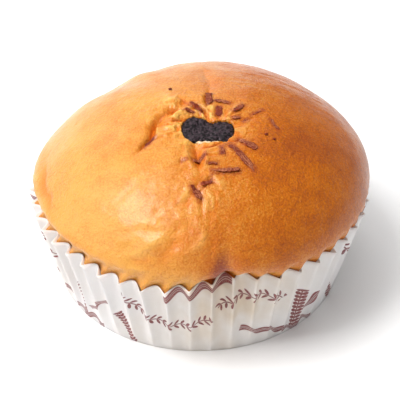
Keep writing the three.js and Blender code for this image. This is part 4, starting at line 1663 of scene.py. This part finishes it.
STRIPS = (
    Strip(5.0, 1.9, -90.0, 6.0, 0.8, 0.5, (0.0, 0.5)),
    Strip(4.4, 1.3, -15.0, -14.0, 0.8, 0.3, (0.5, 0.9)),
    Strip(5.2, 1.3, -49.0, 8.0, 0.7, 0.2, (0.0, 0.2)),
    Strip(2.8, 1.0, -25.0, -12.0, 0.4, 0.8, (0.1, 0.4)),
    Strip(3.4, 1.9, -95.0, 10.0, 0.8, 0.4, (0.3, 0.0)),
    Strip(4.2, 1.4, 45.0, 12.0, 0.3, 0.8, (0.1, 0.5)),
    Strip(2.4, 1.2, 19.0, 0.0, 0.3, 0.8, (0.9, 0.7)),
    Strip(2.0, 0.7, 34.0, 16.0, 0.2, 0.7, (0.7, 0.5)),
    Strip(4.7, 0.6, 38.0, -10.0, 0.3, 0.6, (0.0, 0.3)),
    Strip(4.4, 0.9, -57.0, 50.0, 0.6, 0.9, (0.6, 0.3)),
    Strip(6.4, 1.9, -32.0, 16.0, 0.1, 0.9, (0.9, 0.3)),
    Strip(11.4, 1.8, -50.0, -10.0, 0.2, 0.3, (0.1, 0.9)),
    Strip(3.4, 2.0, -86.0, 8.0, 0.1, 0.9, (0.2, 0.5), 0.7),
    Strip(4.2, 1.5, 26.0, -20.0, 0.5, 0.2, (0.8, 0.2)),
    Strip(1.7, 0.6, 18.0, 0.0, 0.3, 0.6, (0.1, 0.4)),
    Strip(2.8, 0.9, 1.0, -30.0, 0.7, 0.5, (0.2, 0.6)),
    Strip(7.8, 1.9, 6.0, 34.0, 0.2, 0.9, (1.0, 0.3), 0.55),
    Strip(3.2, 1.7, 21.0, 10.0, 0.7, 0.4, (0.0, 0.1)),
    Strip(4.6, 1.6, -53.0, -12.0, 0.6, 0.3, (0.1, 0.8)),
    Strip(4.7, 1.1, 51.0, 8.0, 0.2, 0.5, (0.05, 0.1)),
)


@dataclass
class Shreds:
    """The strips and crumbs of chocolate that lie on the crust."""

    bun: BunDough
    thickness: float = 0.27
    ridge_height: float = 0.07
    curl_height: float = 0.2
    sunk: float = 0.1
    ragged: Lumps = Lumps(0.34, 0.9, 301, 3)
    curls: Lumps = Lumps(1.0, 1.6, 302)
    sway: Lumps = Lumps(0.2, 1.3, 303)
    pits: Lumps = Lumps(0.05, 0.5, 304, 2)
    dusting: Lumps = Lumps(0.3, 1.1, 305)
    melting: Lumps = Lumps(0.9, 0.9, 306)
    crumb_lumps: Lumps = Lumps(0.3, 0.9, 311, 2)
    stations: int = 56
    section: int = 36
    crumbs: int = 3

    def middle_line(
        self, strip: Strip, centre: tuple[float, float]
    ) -> tuple[np.ndarray, np.ndarray, np.ndarray]:
        """Work out a strip's centre line in plan.

        Args:
            strip: The strip's sizes.
            centre: Plan position of its middle, in millimetres.

        Returns:
            Share along the strip from -0.5 to 0.5, plan points on an arc whose heading turns steadily by the
            strip's bend, and the headings.
        """
        along = np.linspace(-0.5, 0.5, self.stations)
        heading = np.radians(strip.heading + strip.bend * along)
        chord = np.radians(strip.heading + strip.bend * along / 2)
        line = np.stack([along * strip.length * np.cos(chord), along * strip.length * np.sin(chord)], -1)
        return along, line + np.array(centre), heading

    def half_width(self, strip: Strip, along: np.ndarray, marks: np.ndarray) -> np.ndarray:
        """Work out a strip's half width.

        Args:
            strip: The strip's sizes.
            along: Share along the strip from -0.5 to 0.5.
            marks: Points along the strip in a space where each strip has its own line.

        Returns:
            Half widths in millimetres: eased from the first share to full and on to the last share, ragged,
            and closed at the ends.
        """
        opening = strip.first + (1 - strip.first) * smoothstep(-0.5, -0.5 + strip.taper, along)
        closing = strip.last + (1 - strip.last) * smoothstep(0.5, 0.5 - strip.taper, along)
        shape = np.clip(np.minimum(opening, closing), 0.1, 1.0)
        close = np.clip(1.0 - (2 * np.abs(along)) ** 8, 0.0, 1.0) ** 0.5
        return strip.width / 2 * shape * (1.0 + self.ragged.at(marks)) * (0.04 + 0.96 * close)

    def strip(self, strip: Strip, centre: tuple[float, float], number: int) -> RingSurface:
        """Work out one strip.

        Args:
            strip: Its sizes.
            centre: Plan position of its middle, in millimetres.
            number: Its number, which picks its own wear.

        Returns:
            A flat section swept along a curved centre line on the crust. The section is a superellipse with
            three ridges along its top. Its edges curl up a little here and there, and it bridges the smallest
            dips of the crust because its height follows the crust's height averaged across it. The ridge
            value is the bloom with a painted highlight, strongest on the tops of the ridges and worn off at
            the melted edges.
        """
        along, line, heading = self.middle_line(strip, centre)
        side = np.stack([-np.sin(heading), np.cos(heading)], -1)
        marks = plan_points(along * strip.length, np.full_like(along, number * 7.0))
        half = self.half_width(strip, along, marks)
        angle = np.arange(self.section) / self.section * 2 * math.pi
        across = np.sign(np.cos(angle)) * np.abs(np.cos(angle)) ** 0.6
        upward = np.sign(np.sin(angle)) * np.abs(np.sin(angle)) ** 0.8
        reach = half[:, None] * across + self.sway.at(marks)[:, None]
        x = line[:, 0, None] + side[:, 0, None] * reach
        y = line[:, 1, None] + side[:, 1, None] * reach

        top = smoothstep(0.0, 0.5, upward)
        ridge = 0.5 + 0.5 * np.cos(across * 3 * math.pi + 0.8 * np.sin(along * 9.0 + number)[:, None])
        thick = self.thickness * np.clip(half / 0.35, 0.3, 1.0)[:, None]
        combed = self.ridge_height * ridge * top * np.clip(half / 0.4, 0.0, 1.0)[:, None]
        curl = self.curl_height * np.abs(across) ** 2 * np.maximum(self.curls.at(marks), 0.0)[:, None]
        z = self.resting(line, side, half)[:, None] + thick * 0.5 * (1 + upward) + combed + curl
        rings = np.stack([x, y, z + top * self.pits.at(plan_points(x, y))], -1)

        bloom = (np.interp(along, (-0.5, 0.5), strip.bloom) + self.dusting.at(marks))[:, None]
        # The tone is bloom, lightest on the ridges' tops, which is partly a painted highlight.
        tone = 0.32 + 0.68 * np.clip(1.1 * bloom, 0.0, 1.0) * (0.2 + 0.8 * ridge * top)
        edge = np.abs(across) ** 5 * np.clip(0.7 + self.melting.at(marks), 0.0, 1.0)[:, None]
        tone = tone * (1.0 - 0.75 * edge)
        return RingSurface(rings, rings[0].mean(0), rings[-1].mean(0), {"ridge": tone})

    def resting(self, line: np.ndarray, side: np.ndarray, half: np.ndarray) -> np.ndarray:
        """Return the height of the strip's underside: a moving mean of the crust's height under it."""
        offsets = np.array((-0.6, 0.0, 0.6))
        x = line[:, 0, None] + side[:, 0, None] * half[:, None] * offsets
        y = line[:, 1, None] + side[:, 1, None] * half[:, None] * offsets
        crust = self.bun.crust_height(x, y).max(axis=1)
        spread = 9
        padded = np.pad(crust, spread, mode="edge")
        kernel = np.hanning(2 * spread + 1)
        mean = np.convolve(padded, kernel / kernel.sum(), mode="valid")
        return np.maximum(mean, crust - 0.25) - self.sunk

    def crumb(self, low: Vector, high: Vector, number: int) -> RingSurface:
        """Work out a small irregular crumb.

        Args:
            low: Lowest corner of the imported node's box, in metres.
            high: Highest corner of the box.
            number: The crumb's number, which picks its own lumps.

        Returns:
            A flattened ball with noise on its radius, resting on the crust.
        """
        centre = (np.array(low) + np.array(high)) / 2 / MM
        radius = (high.x - low.x) / 2 / MM
        polar = np.linspace(0.0, math.pi, 18)[1:-1, None]
        azimuth = np.arange(28) / 28 * 2 * math.pi
        level = -np.cos(polar) + 0 * azimuth
        ball = np.stack([np.sin(polar) * np.cos(azimuth), np.sin(polar) * np.sin(azimuth), level], -1)
        uneven = 1.0 + self.crumb_lumps.at(ball + number * 5.0)
        ground = float(self.bun.crust_height(centre[0], centre[1]))
        rings = ball * (radius * uneven)[..., None] * (1.0, 0.85, 0.6)
        rings = rings + np.array((centre[0], centre[1], ground + 0.3 * radius))
        return RingSurface(rings, rings[0].mean(0), rings[-1].mean(0), {"ridge": np.full(uneven.shape, 0.3)})

    def build(self) -> None:
        """Make every strip and crumb and put them in the scene."""
        material = ShreddedChocolate().material()
        for number, strip in enumerate(STRIPS, start=1):
            node = f"chocolate_shred_{number:02d}"
            mesh = self.strip(strip, node_centre(node), number).mesh(f"{node}_shaved")
            place_piece(mesh, material, [node])
        for number in range(1, self.crumbs + 1):
            node = f"chocolate_crumb_{number:02d}"
            mesh = self.crumb(*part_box(node), number).mesh(f"{node}_shaved")
            place_piece(mesh, material, [node])


# ---- Studio ----------------------------------------------------------------------------------


@dataclass(frozen=True)
class Softbox:
    """A square white light that faces the bun.

    Attributes:
        name: Name of the light.
        azimuth: Direction towards it, in degrees.
        elevation: Height above the horizon, in degrees.
        distance: Distance in metres.
        size: Side in metres.
        watts: Power.
        lighting: True where it lights matte surfaces. A gloss light does not.
        reflected: True where it shows in glossy surfaces. A fill light does not.
    """

    name: str
    azimuth: float
    elevation: float
    distance: float
    size: float
    watts: float
    lighting: bool
    reflected: bool


@dataclass
class Studio:
    """Plain white sweep, the camera, and softboxes whose key is high at the left.

    Lengths are in metres and angles in degrees.
    """

    floor_half: float = 3.0
    floor_colour: str = "#F4F4F4"
    ambient: float = 0.15
    aim_height: float = 0.02135
    aim_x: float = 0.00035
    camera_elevation: float = 38.24
    camera_distance: float = 0.47667
    camera_lens: float = 144.0
    softboxes: tuple[Softbox, ...] = (
        Softbox("key_softbox", -164.0, 62.0, 1.1, 0.48, 8.3, True, False),
        Softbox("side_softbox", -166.0, 33.0, 1.1, 0.9, 3.4, True, True),
        Softbox("top_softbox", 150.0, 78.0, 1.1, 0.9, 6.0, True, False),
        Softbox("back_softbox", 108.0, 27.0, 1.1, 1.2, 3.8, True, True),
        Softbox("front_softbox", -88.0, 22.0, 1.1, 1.3, 3.2, True, False),
        Softbox("right_softbox", 12.0, 30.0, 1.1, 1.3, 1.5, True, False),
        Softbox("gloss_softbox", -157.0, 52.0, 1.1, 0.5, 7.8, False, True),
        Softbox("edge_softbox", 150.0, 20.0, 1.1, 1.0, 3.0, False, True),
    )

    def direction(self, azimuth: float, elevation: float) -> Vector:
        """Return the unit vector towards an azimuth and elevation."""
        turn, rise = math.radians(azimuth), math.radians(elevation)
        return Vector((math.cos(rise) * math.cos(turn), math.cos(rise) * math.sin(turn), math.sin(rise)))

    def build_floor(self) -> None:
        """Add the matte white sweep that the cup stands on."""
        half = self.floor_half
        corners = [(-half, -half, 0), (half, -half, 0), (half, half, 0), (-half, half, 0)]
        mesh = bpy.data.meshes.new("studio_floor")
        mesh.from_pydata(corners, [], [(0, 1, 2, 3)])
        material = new_material("matte_white_sweep")
        matte = {"Base Color": linear(self.floor_colour), "Roughness": 0.9, "Specular IOR Level": 0.2}
        finish_shader(material.node_tree, matte)
        mesh.materials.append(material)
        floor = bpy.data.objects.new("studio_floor", mesh)
        bpy.context.scene.collection.objects.link(floor)

    def build_lights(self) -> None:
        """Add the even white surroundings and the softboxes."""
        world = bpy.data.worlds.new("white_surroundings")
        world.use_nodes = True
        background = world.node_tree.nodes["Background"]
        background.inputs["Color"].default_value = (1.0, 1.0, 1.0, 1.0)
        background.inputs["Strength"].default_value = self.ambient
        bpy.context.scene.world = world
        for box in self.softboxes:
            light = bpy.data.lights.new(box.name, "AREA")
            light.shape = "SQUARE"
            light.size = box.size
            light.energy = box.watts
            lamp = bpy.data.objects.new(box.name, light)
            lamp.visible_diffuse = box.lighting
            lamp.visible_glossy = box.reflected
            towards = self.direction(box.azimuth, box.elevation)
            lamp.location = towards * box.distance
            lamp.rotation_euler = towards.to_track_quat("Z", "Y").to_euler()
            bpy.context.scene.collection.objects.link(lamp)

    def build_camera(self) -> None:
        """Add the camera in front of the bun, looking down on it."""
        data = bpy.data.cameras.new("camera")
        data.lens = self.camera_lens
        data.clip_start = 0.01
        camera = bpy.data.objects.new("camera", data)
        towards = self.direction(-90.0, self.camera_elevation)
        camera.location = Vector((self.aim_x, 0.0, self.aim_height)) + towards * self.camera_distance
        camera.rotation_euler = towards.to_track_quat("Z", "Y").to_euler()
        bpy.context.scene.collection.objects.link(camera)
        bpy.context.scene.camera = camera

    def build(self) -> None:
        """Add the floor, the lights and the camera, and show colours as they are."""
        self.build_camera()
        self.build_floor()
        self.build_lights()
        bpy.context.scene.view_settings.view_transform = "Standard"
        LOG.info("studio: floor, %d softboxes and camera", len(self.softboxes))


# ---- Assembly --------------------------------------------------------------------------------


def main() -> None:
    """Build the studio, the cup, the bun, the filling and the shreds, in that order."""
    logging.basicConfig(level=logging.INFO, format="%(name)s: %(message)s")
    Studio().build()
    cup = PaperCup()
    cup.build()
    bun = BunDough(cup)
    bun.build()
    Filling(bun).build()
    Shreds(bun).build()


if __name__ == "__main__":
    main()
